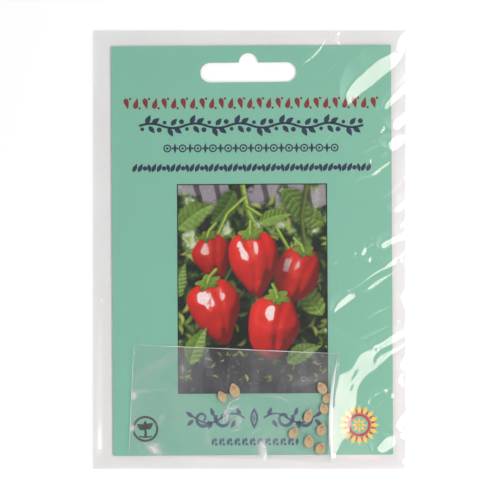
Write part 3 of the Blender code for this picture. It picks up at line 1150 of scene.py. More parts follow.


# Painted sheen: where the sachet's film is painted whiter over an area, for the soft reflections and
# glints on it, with how much of the light it returns
PAINTED_SHEENS = (
    (Spot(-32.1, -67.1, 2.4, 1.1, -32.0), 0.62), (Spot(-31.0, -65.6, 1.2, 0.7, 0.0), 0.28),
    (Spot(4.4, -68.2, 1.2, 3.2, 4.0), 0.52), (Spot(4.2, -65.4, 0.9, 0.9, 0.0), 0.30),
    (Spot(-29.9, -57.2, 2.3, 1.0, 60.0), 0.13), (Spot(-35.4, -47.5, 2.6, 0.8, 12.0), 0.13),
    (Spot(-7.5, -56.0, 0.8, 1.7, 8.0), 0.42), (Spot(-3.9, -57.2, 0.8, 1.4, -20.0), 0.25),
    (Spot(-5.6, -53.1, 1.7, 0.7, 15.0), 0.26), (Spot(-33.0, -39.5, 9.0, 1.4, 33.0), 0.07),
    (Spot(-27.5, -37.5, 7.0, 1.2, 31.0), 0.06), (Spot(-34.0, -44.0, 6.0, 1.2, 36.0), 0.06),
    (Spot(-22.5, -40.0, 1.9, 3.6, 0.0), 0.10), (Spot(11.5, -50.3, 3.4, 0.9, -6.0), 0.09),
    (Spot(-14.0, -62.5, 1.0, 3.6, 6.0), 0.08), (Spot(9.6, -56.6, 1.6, 3.0, 20.0), 0.07),
    (Spot(-24.0, -52.0, 2.4, 6.0, -12.0), 0.05), (Spot(19.6, -44.2, 5.0, 1.2, 14.0), 0.05),
    (Spot(-14.6, -36.4, 1.0, 3.0, 3.0), 0.07), (Spot(2.0, -44.0, 1.4, 5.0, -4.0), 0.04),
    (Spot(-38.7, -49.1, 0.7, 1.2, 0.0), 0.60), (Spot(-39.2, -60.0, 0.6, 1.1, 0.0), 0.60),
)

# Where a raised line of film is painted white as a glint: a part of a rim, from one angle to another,
# and its width
PAINTED_GLINT_LINES = (
    (Spot(-4.7, -51.7, 2.9, 1.15, 29.0), 0.0, 300.0, 0.26),
    (Spot(-5.8, -56.6, 3.0, 3.3, 0.0), 110.0, 215.0, 0.30),
    (Spot(-5.8, -56.6, 3.0, 3.3, 0.0), 300.0, 352.0, 0.28),
    (Spot(-5.9, -56.4, 4.7, 4.5, 0.0), 236.0, 318.0, 0.17),
    (Spot(7.4, -53.4, 6.4, 4.2, 0.0), 12.0, 112.0, 0.17),
    (Spot(1.8, -61.6, 2.4, 0.35, 37.0), 8.0, 172.0, 0.20),
    (Spot(18.3, -43.4, 1.0, 0.65, 15.0), 0.0, 330.0, 0.13),
    (Spot(-39.0, -49.1, 0.25, 0.9, 0.0), 90.0, 270.0, 0.75),
    (Spot(-38.8, -48.4, 0.30, 0.5, 0.0), 90.0, 270.0, 0.55),
    (Spot(-39.6, -60.4, 0.20, 0.8, 0.0), 90.0, 270.0, 0.60),
    (Spot(-38.5, -34.8, 0.15, 0.4, 0.0), 90.0, 270.0, 0.35),
    (Spot(-31.0, -49.0, 4.0, 1.8, 10.0), 40.0, 130.0, 0.14),
    (Spot(-33.6, -67.0, 1.4, 0.5, -40.0), 20.0, 160.0, 0.24),
    (Spot(4.9, -70.6, 0.3, 1.0, 10.0), 100.0, 250.0, 0.42),
)


@dataclass
class Sachet:
    """The small film bag of seeds: two films welded at three sides and folded shut at the right."""

    length: float = 69.6 * MM
    height: float = 36.9 * MM
    centre: Point = (-5.05 * MM, -51.8 * MM)
    turn: float = math.radians(-2.5)
    weld: float = 1.2 * MM
    swell: float = 1.35 * MM
    edge_run: float = 2.6 * MM
    soft_run: float = 6.5 * MM
    soft_until: float = 19.0 * MM
    tight_from: float = 26.0 * MM
    mouth_gap: float = 0.25 * MM
    flat_share: float = 0.35
    back_grid_step: float = 0.55 * MM
    glint_line_height: float = 0.07 * MM
    flat_end: float = -24.0 * MM
    full_from: float = -10.0 * MM
    grid_step: float = 0.29 * MM
    soften: float = 0.16 * MM
    highest_fold: float = 0.29 * MM
    relief_low: Point = (-41.5 * MM, -73.0 * MM)
    relief_high: Point = (31.5 * MM, -31.0 * MM)
    ripple: float = 0.02 * MM
    fold_along: float = 32.4 * MM
    fold_bow: float = 1.8 * MM
    fold_low_point: float = -1.5 * MM
    fold_width: float = 1.15 * MM
    fold_top: float = 17.3 * MM
    fold_top_width: float = 0.4 * MM
    fold_height: float = 0.34 * MM
    lip_width: float = 0.26 * MM
    hair: float = 0.006 * MM
    most_painted_sheen: float = 0.8
    weld_step: float = 0.6 * MM
    climb_step: float = 0.28 * MM
    end_step: float = 0.3 * MM
    bead_sides: int = 12
    fold_points: int = 60
    top_lip_points: int = 80
    side_lip_points: int = 50
    film: FilmFinish = FilmFinish("sachet_film", (0.999, 0.999, 0.999), 0.025, 0.88, 0.10, 75.0,
                                  0.010, 0.5, 0.04 * MM, 0.35)
    # The back film is milky, and spots of painted sheen make it whiter still.
    hazy_and_sheen: FilmFinish = FilmFinish("hazy_film_and_painted_sheen", (0.990, 0.995, 0.999), 0.046, 0.05, 0.3, 60.0,
                                  0.02, 0.5, 0.03 * MM, 0.6, 60.0, "painted_sheen")
    # Nearly opaque white, for raised lines whose white is a painted glint.
    painted_glint_finish: FilmFinish = FilmFinish("painted_glint_film", (0.98, 0.98, 0.98), 0.42, 0.10, 0.25, 300.0,
                                     0.02, 0.5, 0.04 * MM, 0.5, 700.0)
    # Nearly opaque white: partly the layered film of the fold and the lips, partly a painted highlight
    # along them.
    fold: FilmFinish = FilmFinish("folded_film_and_painted_highlight", (0.97, 0.97, 0.97), 0.55, 0.12, 0.2, 300.0,
                                  0.02, 0.5, 0.05 * MM)

    def __post_init__(self) -> None:
        """Raises the film's small folds."""
        self.relief = Relief(self.relief_low, self.relief_high, self.soften)
        for mark in SACHET_CREASES:
            mark.lift(self.relief.points, self.relief.rise)
        self.relief.soften(self.soften)

    def rise(self, x: Array, y: Array) -> Array:
        """Returns how far the small folds lift the film at points of the packet.

        Args:
            x: Sideways coordinates in the packet.
            y: Upward coordinates in the packet.

        Returns:
            The rise at each point.
        """
        along, up = self.into(x, y)
        within = np.minimum(self.length / 2 - np.abs(along), self.height / 2 - np.abs(up))
        rise = np.minimum(self.relief.at(x, y), self.highest_fold)
        return rise * share(within, 0.0, 0.4 * MM)

    def into(self, x: Array, y: Array) -> tuple[Array, Array]:
        """Returns packet points in the sachet's own length and height directions."""
        return turned(x - self.centre[0], y - self.centre[1], -self.turn)

    def out_of(self, along: Array, up: Array) -> tuple[Array, Array]:
        """Returns the sachet's own points in the packet."""
        x, y = turned(along, up, self.turn)
        return x + self.centre[0], y + self.centre[1]

    def filling(self, along: Array) -> Array:
        """Returns how full the sachet is: nearly flat at its left, full where the seeds are."""
        grown = ease(along, self.flat_end, self.full_from)
        return self.flat_share + (1.0 - self.flat_share) * grown

    def gap(self, along: Array, up: Array) -> Array:
        """Returns the space between its two films.

        Args:
            along: Points along the sachet.
            up: Points up the sachet.

        Returns:
            The space at each point.
        """
        soft = self.soft_run - self.weld
        tight = soft + (self.edge_run - self.soft_run) * ease(along, self.soft_until,
                                                              self.tight_from)
        side = ease((along + self.length / 2 - self.weld) / soft, 0.0, 1.0)
        side = side * ease((self.height / 2 - self.weld - up) / soft, 0.0, 1.0)
        side = side * ease((self.height / 2 - self.weld + up) / tight, 0.0, 1.0)
        end = share(self.length / 2 - along, 0.0, self.edge_run)
        slit = self.mouth_gap / self.swell
        return self.swell * self.filling(along) * side * (slit + (1.0 - slit) * end)

    def top(self, along: Array, up: Array) -> Array:
        """Returns the height of its upper face, and nothing past its edges."""
        within = np.minimum(self.length / 2 - np.abs(along), self.height / 2 - np.abs(up)) > 0.0
        return np.where(within, SACHET_EDGE_TOP + self.gap(along, up), 0.0)

    def fold_at(self, up: Array) -> Array:
        """Returns where the folded end lies, along the sachet, at a height."""
        reach = self.height / 2 - self.fold_low_point
        return self.fold_along + self.fold_bow * ((up - self.fold_low_point) / reach) ** 2

    def lay_bead(self, name: str, along: Array, up: Array, width: Array, height: float,
                 material: Material) -> None:
        """Lays a flattened round bead, closed at both ends, along a line on the front film.

        Args:
            name: The bead's name.
            along: The line's coordinates along the sachet.
            up: The line's coordinates up the sachet.
            width: The bead's width at each point.
            height: Its height.
            material: Its material.
        """
        base = SACHET_EDGE_TOP + self.gap(along, up) + self.rise(*self.out_of(along, up))
        sides = self.bead_sides
        made = bmesh.new()
        rings = []
        count = len(along)
        for k in range(count):
            before, after = max(0, k - 1), min(count - 1, k + 1)
            line = Vector((along[after] - along[before], up[after] - up[before])).normalized()
            taper = min(1.0, 0.25 + 4.0 * min(k, count - 1 - k) / count)
            rings.append([])
            for angle in np.linspace(0.0, 2 * math.pi, sides, endpoint=False):
                out = width[k] / 2 * taper * math.cos(angle)
                lift = height / 2 * taper * (1.0 + math.sin(angle))
                x, y = self.out_of(along[k] + line.y * out, up[k] - line.x * out)
                rings[-1].append(made.verts.new((x, y, base[k] + lift)))
        for corners_here, following in zip(rings, rings[1:]):
            for side in range(sides):
                after = (side + 1) % sides
                made.faces.new((corners_here[side], corners_here[after], following[after],
                                following[side]))
        made.faces.new(list(reversed(rings[0])))
        made.faces.new(rings[-1])
        bmesh.ops.recalc_face_normals(made, faces=made.faces[:])
        mesh = finished_mesh(name, made)
        mesh.shade_smooth()
        on_packet(object_of(name, mesh, material), "sachet_film", "sachet")

    def build(self, effects: Effects) -> None:
        """Makes the two films, the raised lines painted white as glints, the folded end and the cut
        lips of the welds.

        Args:
            effects: The shared shader groups.
        """
        self.make_front(self.film.material(effects))
        self.make_back(self.hazy_and_sheen.material(effects))
        self.lay_glint_lines(self.painted_glint_finish.material(effects))
        self.lay_edges(self.fold.material(effects))

    def make_front(self, material: Material) -> None:
        """Makes the front film, on a net that is finer where the film climbs.

        Args:
            material: Its material.
        """
        right, top = self.length / 2, self.height / 2
        weld, run, step = self.weld, self.edge_run, self.grid_step
        flat, climb = self.weld_step, self.climb_step
        columns = stops((-right, -right + weld, flat), (-right + weld, -right + run, climb),
                        (-right + run, right - run, step), (right - run, right, self.end_step))
        rows = stops((-top, -top + weld, flat), (-top + weld, -top + run, climb),
                     (-top + run, top - run, step), (top - run, top - weld, climb),
                     (top - weld, top, flat))
        net = grid_net(columns, rows)
        along, up = net.points.T
        gap = self.gap(along, up)
        ripple = self.ripple * np.sin(along / (2.3 * MM) + 1.7 * np.sin(up / (9.0 * MM)))
        height = SACHET_EDGE_TOP + gap + self.rise(*self.out_of(along, up))
        height = height + ripple * share(gap, 0.0, 0.5 * MM)
        front = net.plate("sachet_front", height, height - FILM + self.hair, material, self.out_of)
        on_packet(front, "sachet_film", "sachet")

    def make_back(self, material: Material) -> None:
        """Makes the flat back film and marks the spots of painted sheen on it.

        Args:
            material: Its material.
        """
        net = grid_net(stops((-self.length / 2, self.length / 2, self.back_grid_step)),
                       stops((-self.height / 2, self.height / 2, self.back_grid_step)))
        flat = np.full(len(net.points), SACHET_BOTTOM)
        back = net.plate("sachet_back", flat + FILM - self.hair, flat, material, self.out_of)
        place = np.empty(3 * len(back.data.vertices))
        back.data.vertices.foreach_get("co", place)
        x, y = place.reshape(-1, 3)[:, :2].T
        # Painted sheen: soft white spots that stand for reflections and glints, whatever the light.
        painted_sheen = sum(most * spot.strength_at(x, y) for spot, most in PAINTED_SHEENS)
        write_mask(back.data, self.hazy_and_sheen.painted_sheen_attribute, np.clip(painted_sheen, 0.0, self.most_painted_sheen))
        on_packet(back, "sachet_film", "sachet")

    def lay_glint_lines(self, material: Material) -> None:
        """Lays raised lines on the front film, painted white as glints.

        Args:
            material: Their material.
        """
        for number, (spot, start, end, wide) in enumerate(PAINTED_GLINT_LINES, 1):
            along, up = self.into(*spot.arc(start, end))
            # Each raised line carries a painted glint.
            uneven = wide * MM * (0.8 + 0.3 * np.sin(np.arange(len(along)) * 0.9 + number))
            self.lay_bead(f"sachet_scuff_{number:02d}", along, up, uneven, self.glint_line_height,
                          material)

    def lay_edges(self, material: Material) -> None:
        """Lays the folded end and the lips of the welds at the top and the left. Their white is partly
        the layered film and partly a painted highlight.

        Args:
            material: Their material.
        """
        right, top, lip = self.length / 2, self.height / 2, self.lip_width
        up = np.linspace(self.fold_top, -top + 0.4 * MM, self.fold_points)
        width = np.interp(up, (0.0, self.fold_top), (self.fold_width, self.fold_top_width))
        self.lay_bead("sachet_fold", self.fold_at(up), up, width, self.fold_height, material)
        along = np.linspace(-right, right, self.top_lip_points)
        up = np.full(self.top_lip_points, top - lip / 2)
        width = lip * (1.0 + 0.3 * np.sin(along / (1.9 * MM)) * np.sin(along / (5.3 * MM)))
        self.lay_bead("sachet_top_lip", along, up, width, lip / 2, material)
        up = np.linspace(-top, top, self.side_lip_points)
        along = np.full(self.side_lip_points, -right + lip / 2)
        width = np.full(self.side_lip_points, lip * 0.6)
        self.lay_bead("sachet_side_lip", along, up, width, lip / 3, material)


@dataclass
class FilmBag:
    """The outer bag: a puckered front film and a flat back film, welded along their edges."""

    sachet: Sachet
    slot: HangSlot
    top_limit: float
    width: float = 105.0 * MM
    length: float = 147.3 * MM
    weld_band: float = 0.5 * MM
    weld_height: float = 0.6 * MM
    weld_lift: float = 0.42 * MM
    edge_run: float = 3.9 * MM
    fall_run: float = 8.5 * MM
    fall_inset: float = 1.0 * MM
    clearance: float = 0.10 * MM
    fall_slope: float = 0.22
    fall_heights: tuple[float, ...] = (-15.6, -10.6, -8.4, -4.0, 8.0)
    fall_widths: tuple[float, ...] = (1.3, 4.0, 6.2, 7.0, 8.3)
    foot_slope: float = 0.09
    cut_at: Point = (33.4 * MM, 9.5 * MM)
    cut_facing: float = math.radians(51.0)
    cut_slope: float = 0.38
    wave: float = 0.05 * MM
    relief_step: float = 0.25 * MM
    soften: float = 0.19 * MM
    fine_from: float = 17.6 * MM
    coarse_step: float = 0.85 * MM
    fine_step: float = 0.37 * MM
    row_step: float = 0.42 * MM
    back_steps: tuple[float, float, float] = (1.6 * MM, 0.9 * MM, 1.3 * MM)
    hair: float = 0.004 * MM
    faint_count: int = 44
    faint_low: Point = (24.0, -68.0)
    faint_high: Point = (54.0, 72.0)
    faint_seed: int = 12
    film: FilmFinish = FilmFinish("bag_film", (0.985, 0.985, 0.985), 0.042, 0.93, 0.05, 34.0,
                                  0.006, 0.5, 0.03 * MM)

    def __post_init__(self) -> None:
        """Raises the front film's folds."""
        corner = (self.width / 2, self.length / 2)
        self.relief = Relief((-corner[0], -corner[1]), corner, self.relief_step)
        faint = faint_creases(self.faint_count, self.faint_low, self.faint_high, self.faint_seed)
        for mark in (*faint, *BAG_CREASES, *BAG_DIMPLES):
            mark.lift(self.relief.points, self.relief.rise)
        self.relief.soften(self.soften)

    def edge_distance(self, x: Array, y: Array) -> Array:
        """Returns each point's distance to the bag's nearest edge."""
        return np.minimum(self.width / 2 - np.abs(x), self.length / 2 - np.abs(y))

    def cover(self, x: Array, y: Array) -> Array:
        """Returns the height of the front film over the sachet, before its own folds.

        Args:
            x: Sideways coordinates in the packet.
            y: Upward coordinates in the packet.

        Returns:
            The height at each point.
        """
        along, up = self.sachet.into(x, y)
        inset = self.fall_inset
        past_left = np.maximum(0.0, -along - self.sachet.length / 2 + inset)
        past_side = np.maximum(0.0, np.abs(up) - self.sachet.height / 2 + inset)
        top = SACHET_EDGE_TOP + self.sachet.swell * self.sachet.filling(along)
        top = top + self.clearance + FILM + self.sachet.rise(x, y)
        stays = 1.0 - ease(np.hypot(past_left, past_side), 0.0, self.fall_run)
        over_card = np.maximum(0.0, top - CARD_COVER - self.right_drop(along, up))
        sachet_top = self.sachet.top(along, up) + self.clearance + FILM
        return np.maximum(CARD_COVER + over_card * stays, sachet_top)

    def right_drop(self, along: Array, up: Array) -> Array:
        """Returns how far the front film has come down past the sachet's folded end.

        Args:
            along: Points along the sachet.
            up: Points up the sachet.

        Returns:
            The drop, steep at first and then slight. The upper corner is cut off.
        """
        past = np.maximum(0.0, along - self.sachet.fold_at(up))
        steep = np.interp(up / MM, self.fall_heights, self.fall_widths) * MM
        drop = self.fall_slope * np.minimum(past, steep)
        drop = drop + self.foot_slope * np.maximum(0.0, past - steep)
        facing = math.cos(self.cut_facing), math.sin(self.cut_facing)
        past_cut = (along - self.cut_at[0]) * facing[0] + (up - self.cut_at[1]) * facing[1]
        return np.maximum(drop, self.cut_slope * np.maximum(0.0, past_cut))

    def rise(self, points: Array) -> Array:
        """Returns how much the folds and the soft waves lift the front film over the card.

        Args:
            points: Points of the packet.

        Returns:
            The rise at each point.
        """
        x, y = points.T
        soft = np.sin(x / (9.0 * MM) + 0.8 * np.sin(y / (14.0 * MM)))
        soft = soft * np.sin(y / (11.0 * MM) + 0.9 * np.sin(x / (17.0 * MM)))
        return self.relief.at(x, y) + self.wave * (0.5 + 0.5 * soft)

    def weld_middle(self, points: Array, rise: Array) -> Array:
        """Returns the height at which the two films meet at the edge.

        Args:
            points: Points of the packet.
            rise: How far the folds lift the film there.

        Returns:
            The height at each point.
        """
        x, y = points.T
        lifted = np.maximum(share(-y, 0.0, self.length / 2), ease(x, 0.0, self.width / 2))
        return self.weld_height + self.weld_lift * lifted + rise

    def front(self, points: Array) -> Array:
        """Returns the height of the bag's outer front face.

        Args:
            points: Points of the packet.

        Returns:
            The height at each point.
        """
        x, y = points.T
        rise = self.rise(points)
        weld = self.weld_middle(points, rise) + FILM
        climb = share(self.edge_distance(x, y), self.weld_band, self.edge_run)
        cover = np.maximum(self.cover(x, y), CARD_COVER + rise)
        height = weld + (cover - weld) * climb
        return np.minimum(height, self.top_limit)

    def back(self, points: Array) -> Array:
        """Returns the height of the bag's outer back face.

        Args:
            points: Points of the packet.

        Returns:
            The height at each point.
        """
        x, y = points.T
        weld = self.weld_middle(points, self.rise(points)) - FILM
        climb = share(self.edge_distance(x, y), self.weld_band, self.edge_run)
        return np.minimum(weld, self.top_limit - 2 * FILM) * (1.0 - climb)

    def net(self, coarse: float, fine: float, row: float) -> Net:
        """Lays the flat net of one film.

        Args:
            coarse: Width of the faces on the left, which are two rows high.
            fine: Width of the faces on the right, where the film is puckered.
            row: Height of a row.

        Returns:
            The net, with the slot in it.
        """
        half_width, half_length = self.width / 2, self.length / 2
        band, run = self.weld_band, self.edge_run
        left = stops((-half_width, -half_width + band, band),
                     (-half_width + band, -half_width + run, coarse),
                     (-half_width + run, self.fine_from, coarse))
        right = stops((self.fine_from, half_width - band, fine),
                      (half_width - band, half_width, band))
        rows = stops((-half_length, -half_length + band, band),
                     (-half_length + band, half_length - band, row),
                     (half_length - band, half_length, band))
        low_rows = np.union1d(rows[::2], rows[-1:])
        return joined(grid_net(left, low_rows, self.slot.outline()), grid_net(right, rows),
                      self.fine_from)

    def build(self, effects: Effects) -> None:
        """Makes the bag's two films.

        Args:
            effects: The shared shader groups.
        """
        film = self.film.material(effects)
        net = self.net(self.coarse_step, self.fine_step, self.row_step)
        outer = self.front(net.points)
        front = net.plate("bag_front", outer, outer - FILM + self.hair, film)
        on_packet(front, "bag_film", "bag")
        net = self.net(*self.back_steps)
        outer = self.back(net.points)
        on_packet(net.plate("bag_back", outer + FILM - self.hair, outer, film), "bag_film", "bag")


@dataclass
class Card:
    """The printed card: coated board with the slot punched through it."""

    slot: HangSlot
    width: float = 94.0 * MM
    length: float = 137.6 * MM
    centre: Point = (0.93 * MM, -0.31 * MM)
    turn: float = math.radians(0.31)
    edge_round: float = 0.04 * MM
    corner: float = 0.15 * MM
    finish: BoardFinish = BoardFinish()

    def build(self, effects: Effects) -> None:
        """Makes the card with rounded cut edges.

        Args:
            effects: The shared shader groups.
        """
        half_width, half_length = self.width / 2, self.length / 2
        outline: Loop = []
        for sx, sy, start in ((1, 1, 0), (-1, 1, 90), (-1, -1, 180), (1, -1, 270)):
            cx, cy = sx * (half_width - self.corner), sy * (half_length - self.corner)
            for angle in np.radians(np.linspace(start, start + 90, 5)):
                outline.append((cx + self.corner * math.cos(angle),
                                cy + self.corner * math.sin(angle)))
        x, y = turned(*np.array(outline).T, self.turn)
        outer = list(zip(x + self.centre[0], y + self.centre[1]))
        hole = [tuple(p) for p in self.slot.outline()]
        mesh = plate_mesh([outer, hole], CARD_BOTTOM, CARD_TOP, self.edge_round)
        mesh.name = "card_board"
        card = object_of("card_board", mesh, self.finish.material(effects))
        on_packet(card, "printed_card", "card")


def plate_mesh(loops: Shape, bottom: float, top: float, edge_round: float = 0.0
               ) -> Mesh:
    """Fills flat outlines and gives them a thickness.

    Args:
        loops: Closed outlines. One inside another is a hole.
        bottom: Height of the lower face.
        top: Height of the upper face.
        edge_round: Radius of the rounded edges.

    Returns:
        The closed plate's mesh, in place.
    """
    curve = bpy.data.curves.new("outline", "CURVE")
    curve.dimensions = "2D"
    curve.fill_mode = "BOTH"
    curve.extrude = (top - bottom) / 2 - edge_round
    curve.bevel_depth = edge_round
    curve.bevel_resolution = 1
    curve.offset = -edge_round
    for loop in loops:
        spline = curve.splines.new("POLY")
        spline.points.add(len(loop) - 1)
        for point, (x, y) in zip(spline.points, loop):
            point.co = (x, y, 0.0, 1.0)
        spline.use_cyclic_u = True
    holder = in_scene("outline", curve)
    shown = holder.evaluated_get(bpy.context.evaluated_depsgraph_get())
    mesh = bpy.data.meshes.new_from_object(shown)
    bpy.data.objects.remove(holder)
    bpy.data.curves.remove(curve)
    mesh.transform(Matrix.Translation((0.0, 0.0, (top + bottom) / 2)))
    made = bmesh.new()
    made.from_mesh(mesh)
    bmesh.ops.remove_doubles(made, verts=made.verts[:], dist=1e-7)
    bmesh.ops.recalc_face_normals(made, faces=made.faces[:])
    made.to_mesh(mesh)
    made.free()
    return mesh


def disc(x: float, y: float, radius: float, sides: int = 20) -> Loop:
    """Returns a round outline, in millimetres."""
    angles = np.linspace(0.0, 2 * math.pi, sides, endpoint=False)
    return [(x + radius * math.cos(a), y + radius * math.sin(a)) for a in angles]


def ring(outer: float, inner: float, sides: int = 28) -> Shape:
    """Returns the two outlines of a ring about the origin, in millimetres."""
    return [disc(0.0, 0.0, outer, sides), disc(0.0, 0.0, inner, sides)]


def leaf(x: float, y: float, length: float, width: float, angle: float, belly: float = 0.42
         ) -> Loop:
    """Returns a pointed leaf's outline, in millimetres.

    Args:
        x: Its root's place sideways.
        y: Its root's place upwards.
        length: Its length.
        width: Its widest.
        angle: The way it points, in degrees.
        belly: Where it is widest, as a share of its length.

    Returns:
        The outline.
    """
    steps = np.linspace(0.0, 1.0, 9)
    power = math.log(0.5) / math.log(belly)
    half = width / 2 * np.sin(math.pi * steps ** power)
    along = np.concatenate([steps * length, steps[-2:0:-1] * length])
    side = np.concatenate([half, -half[-2:0:-1]])
    px, py = turned(along, -side, math.radians(angle))
    return list(zip(px + x, py + y))


def ribbon(points: Sequence[Point], start: float, end: float) -> Loop:
    """Returns the outline of a stroke that tapers, in millimetres.

    Args:
        points: The stroke's middle line.
        start: Its width at the first point.
        end: Its width at the last point.

    Returns:
        The outline.
    """
    line = np.array(points)
    step = np.gradient(line, axis=0)
    step /= np.linalg.norm(step, axis=1)[:, None]
    side = np.stack([-step[:, 1], step[:, 0]], 1)
    half = np.linspace(start, end, len(line))[:, None] / 2
    return [tuple(p) for p in np.concatenate([line - side * half, (line + side * half)[::-1]])]


def scroll(radius: float, turns: float, start: float, flip: int) -> Loop:
    """Returns the middle line of a curl about the origin that winds inwards, in millimetres.

    Args:
        radius: Its outer radius.
        turns: How many turns it makes.
        start: The angle of its outer end, in degrees.
        flip: 1 winds anticlockwise and -1 clockwise.

    Returns:
        The points of the line.
    """
    inner_share = 0.22
    steps = np.linspace(0.0, 1.0, int(26 * turns) + 6)
    angles = math.radians(start) + flip * steps * turns * 2 * math.pi
    reach = radius * (1.0 - (1.0 - inner_share) * steps)
    return list(zip(reach * np.cos(angles), reach * np.sin(angles)))


@dataclass
class Print:
    """The printed ornaments, which stand in rows on the card."""

    card: Card
    effects: Effects

    def __post_init__(self) -> None:
        """Makes the tree that sets out the rows, and the inks as they are needed."""
        self.inks: dict[Ink, Material] = {}
        self.row_tree = self.make_row_tree()

    def ink(self, ink: Ink) -> Material:
        """Returns an ink's material, made once.

        Args:
            ink: The ink.

        Returns:
            Its material.
        """
        if ink not in self.inks:
            self.inks[ink] = ink.value.material(self.effects)
        return self.inks[ink]

    @staticmethod
    def motif(shapes: Sequence[Shape]) -> Mesh:
        """Makes a thin plate of every shape, on height 0. Loops inside one shape are holes.

        Args:
            shapes: The motif's shapes, in millimetres.

        Returns:
            The mesh.
        """
        whole = bmesh.new()
        for shape in shapes:
            sized = [[(x * MM, y * MM) for x, y in loop] for loop in shape]
            mesh = plate_mesh(sized, 0.0, PRINT_THICKNESS)
            whole.from_mesh(mesh)
            bpy.data.meshes.remove(mesh)
        return finished_mesh("motif", whole)

    @staticmethod
    def make_row_tree() -> bpy.types.NodeTree:
        """Makes the Geometry Nodes that set two motifs by turns along a line.

        Returns:
            The tree, whose inputs are the row's motifs, places and ink.
        """
        group = bpy.data.node_groups.new("ornament_row", "GeometryNodeTree")
        face = group.interface
        face.new_socket("Geometry", in_out="OUTPUT", socket_type="NodeSocketGeometry")
        face.new_socket("Geometry", in_out="INPUT", socket_type="NodeSocketGeometry")
        for name, kind in (("Motif", "Object"), ("Other motif", "Object"), ("Count", "Int"),
                           ("Start", "Vector"), ("Step", "Vector"), ("Tilt", "Float"),
                           ("Ink", "Material")):
            face.new_socket(name, in_out="INPUT", socket_type="NodeSocket" + kind)
        tree = NodeMaker(group)
        given = tree.add("NodeGroupInput").outputs
        line = tree.add("GeometryNodeMeshLine", {"Count": given["Count"],
                                                 "Start Location": given["Start"],
                                                 "Offset": given["Step"]}, mode="OFFSET")
        index = tree.add("GeometryNodeInputIndex")
        odd = tree.calculate("MODULO", index.outputs[0], 2.0)
        placed = []
        for name, chosen, tilt in (
                ("Motif", tree.calculate("SUBTRACT", 1.0, odd), given["Tilt"]),
                ("Other motif", odd, tree.calculate("MULTIPLY", given["Tilt"], -1.0))):
            shape = tree.add("GeometryNodeObjectInfo", {"Object": given[name],
                                                        "As Instance": True})
            turn = tree.add("ShaderNodeCombineXYZ", {"Z": tilt})
            placed.append(tree.add("GeometryNodeInstanceOnPoints", {
                "Points": line.outputs[0], "Selection": chosen,
                "Instance": shape.outputs["Geometry"], "Rotation": turn.outputs[0]}))
        together = tree.add("GeometryNodeJoinGeometry")
        for node in placed:
            group.links.new(node.outputs[0], together.inputs[0])
        real = tree.add("GeometryNodeRealizeInstances", {0: together.outputs[0]})
        inked = tree.add("GeometryNodeSetMaterial", {"Geometry": real.outputs[0],
                                                     "Material": given["Ink"]})
        tree.add("NodeGroupOutput", {0: inked.outputs[0]})
        return group

    def on_card(self, x: float, y: float) -> tuple[float, float, float]:
        """Returns a point of the card's face, given in millimetres without the card's turn.

        Args:
            x: Its place sideways.
            y: Its place upwards.

        Returns:
            The point in the packet, in metres.
        """
        cx, cy = self.card.centre
        px, py = turned(x * MM - cx, y * MM - cy, self.card.turn)
        return px + cx, py + cy, CARD_TOP

    def row(self, name: str, ink: Ink, shapes: Sequence[Shape], others: Sequence[Shape],
            first: Point, last: float, count: int, tilt: float = 0.0) -> None:
        """Prints a row of two motifs by turns.

        Args:
            name: The row's name.
            ink: Its ink.
            shapes: The motif at the even places.
            others: The motif at the odd places.
            first: The first motif's place, in millimetres.
            last: The last motif's place sideways, in millimetres.
            count: How many motifs there are.
            tilt: How far the motifs lean by turns to the left and the right, in degrees.
        """
        start = Vector(self.on_card(*first))
        end = Vector(self.on_card(last, first[1]))
        step = (end - start) / (count - 1)
        row = in_scene(name, bpy.data.meshes.new(name))
        motifs = []
        for shape in (shapes, others):
            mesh = self.motif(shape)
            mesh.transform(Matrix.Rotation(self.card.turn, 4, "Z"))
            motifs.append(in_scene("motif", mesh))
        values = {"Motif": motifs[0], "Other motif": motifs[1], "Count": count,
                  "Start": start, "Step": step, "Tilt": math.radians(tilt),
                  "Ink": self.ink(ink)}
        modifier = row.modifiers.new("row", "NODES")
        modifier.node_group = self.row_tree
        for item in self.row_tree.interface.items_tree:
            if item.in_out == "INPUT" and item.name in values:
                modifier[item.identifier] = values[item.name]
        shown = row.evaluated_get(bpy.context.evaluated_depsgraph_get())
        mesh = bpy.data.meshes.new_from_object(shown)
        row.modifiers.remove(modifier)
        row.data = mesh
        mesh.materials.clear()
        mesh.materials.append(self.ink(ink))
        for motif in motifs:
            bpy.data.objects.remove(motif)
        on_packet(row, "printed_card")

    def single(self, name: str, ink: Ink, shapes: Sequence[Shape], x: float, y: float) -> None:
        """Prints one ornament.

        Args:
            name: Its name.
            ink: Its ink.
            shapes: Its shapes, in millimetres about their own centre.
            x: Its place sideways, in millimetres.
            y: Its place upwards, in millimetres.
        """
        mesh = self.motif(shapes)
        turn = Matrix.Rotation(self.card.turn, 4, "Z")
        mesh.transform(Matrix.Translation(self.on_card(x, y)) @ turn)
        on_packet(object_of(name, mesh, self.ink(ink)), "printed_card")

    def build(self) -> None:
        """Prints every row and single ornament."""
        self.print_rows()
        self.print_flourish()
        self.print_seedling()
        self.print_sun()

    def print_rows(self) -> None:
        """Prints the rows above the picture and the fine row at the card's foot."""
        pod = [[leaf(0.0, 1.9, 3.9, 1.75, -90.0, 0.3)], [disc(1.5, 1.25, 0.42)]]
        bud = [[leaf(0.0, -1.9, 3.9, 1.75, 90.0, 0.3)], [disc(1.5, -1.25, 0.42)]]
        self.row("print_pods", Ink.RED, pod, bud, (-41.0, 49.2), 42.0, 27, 14.0)

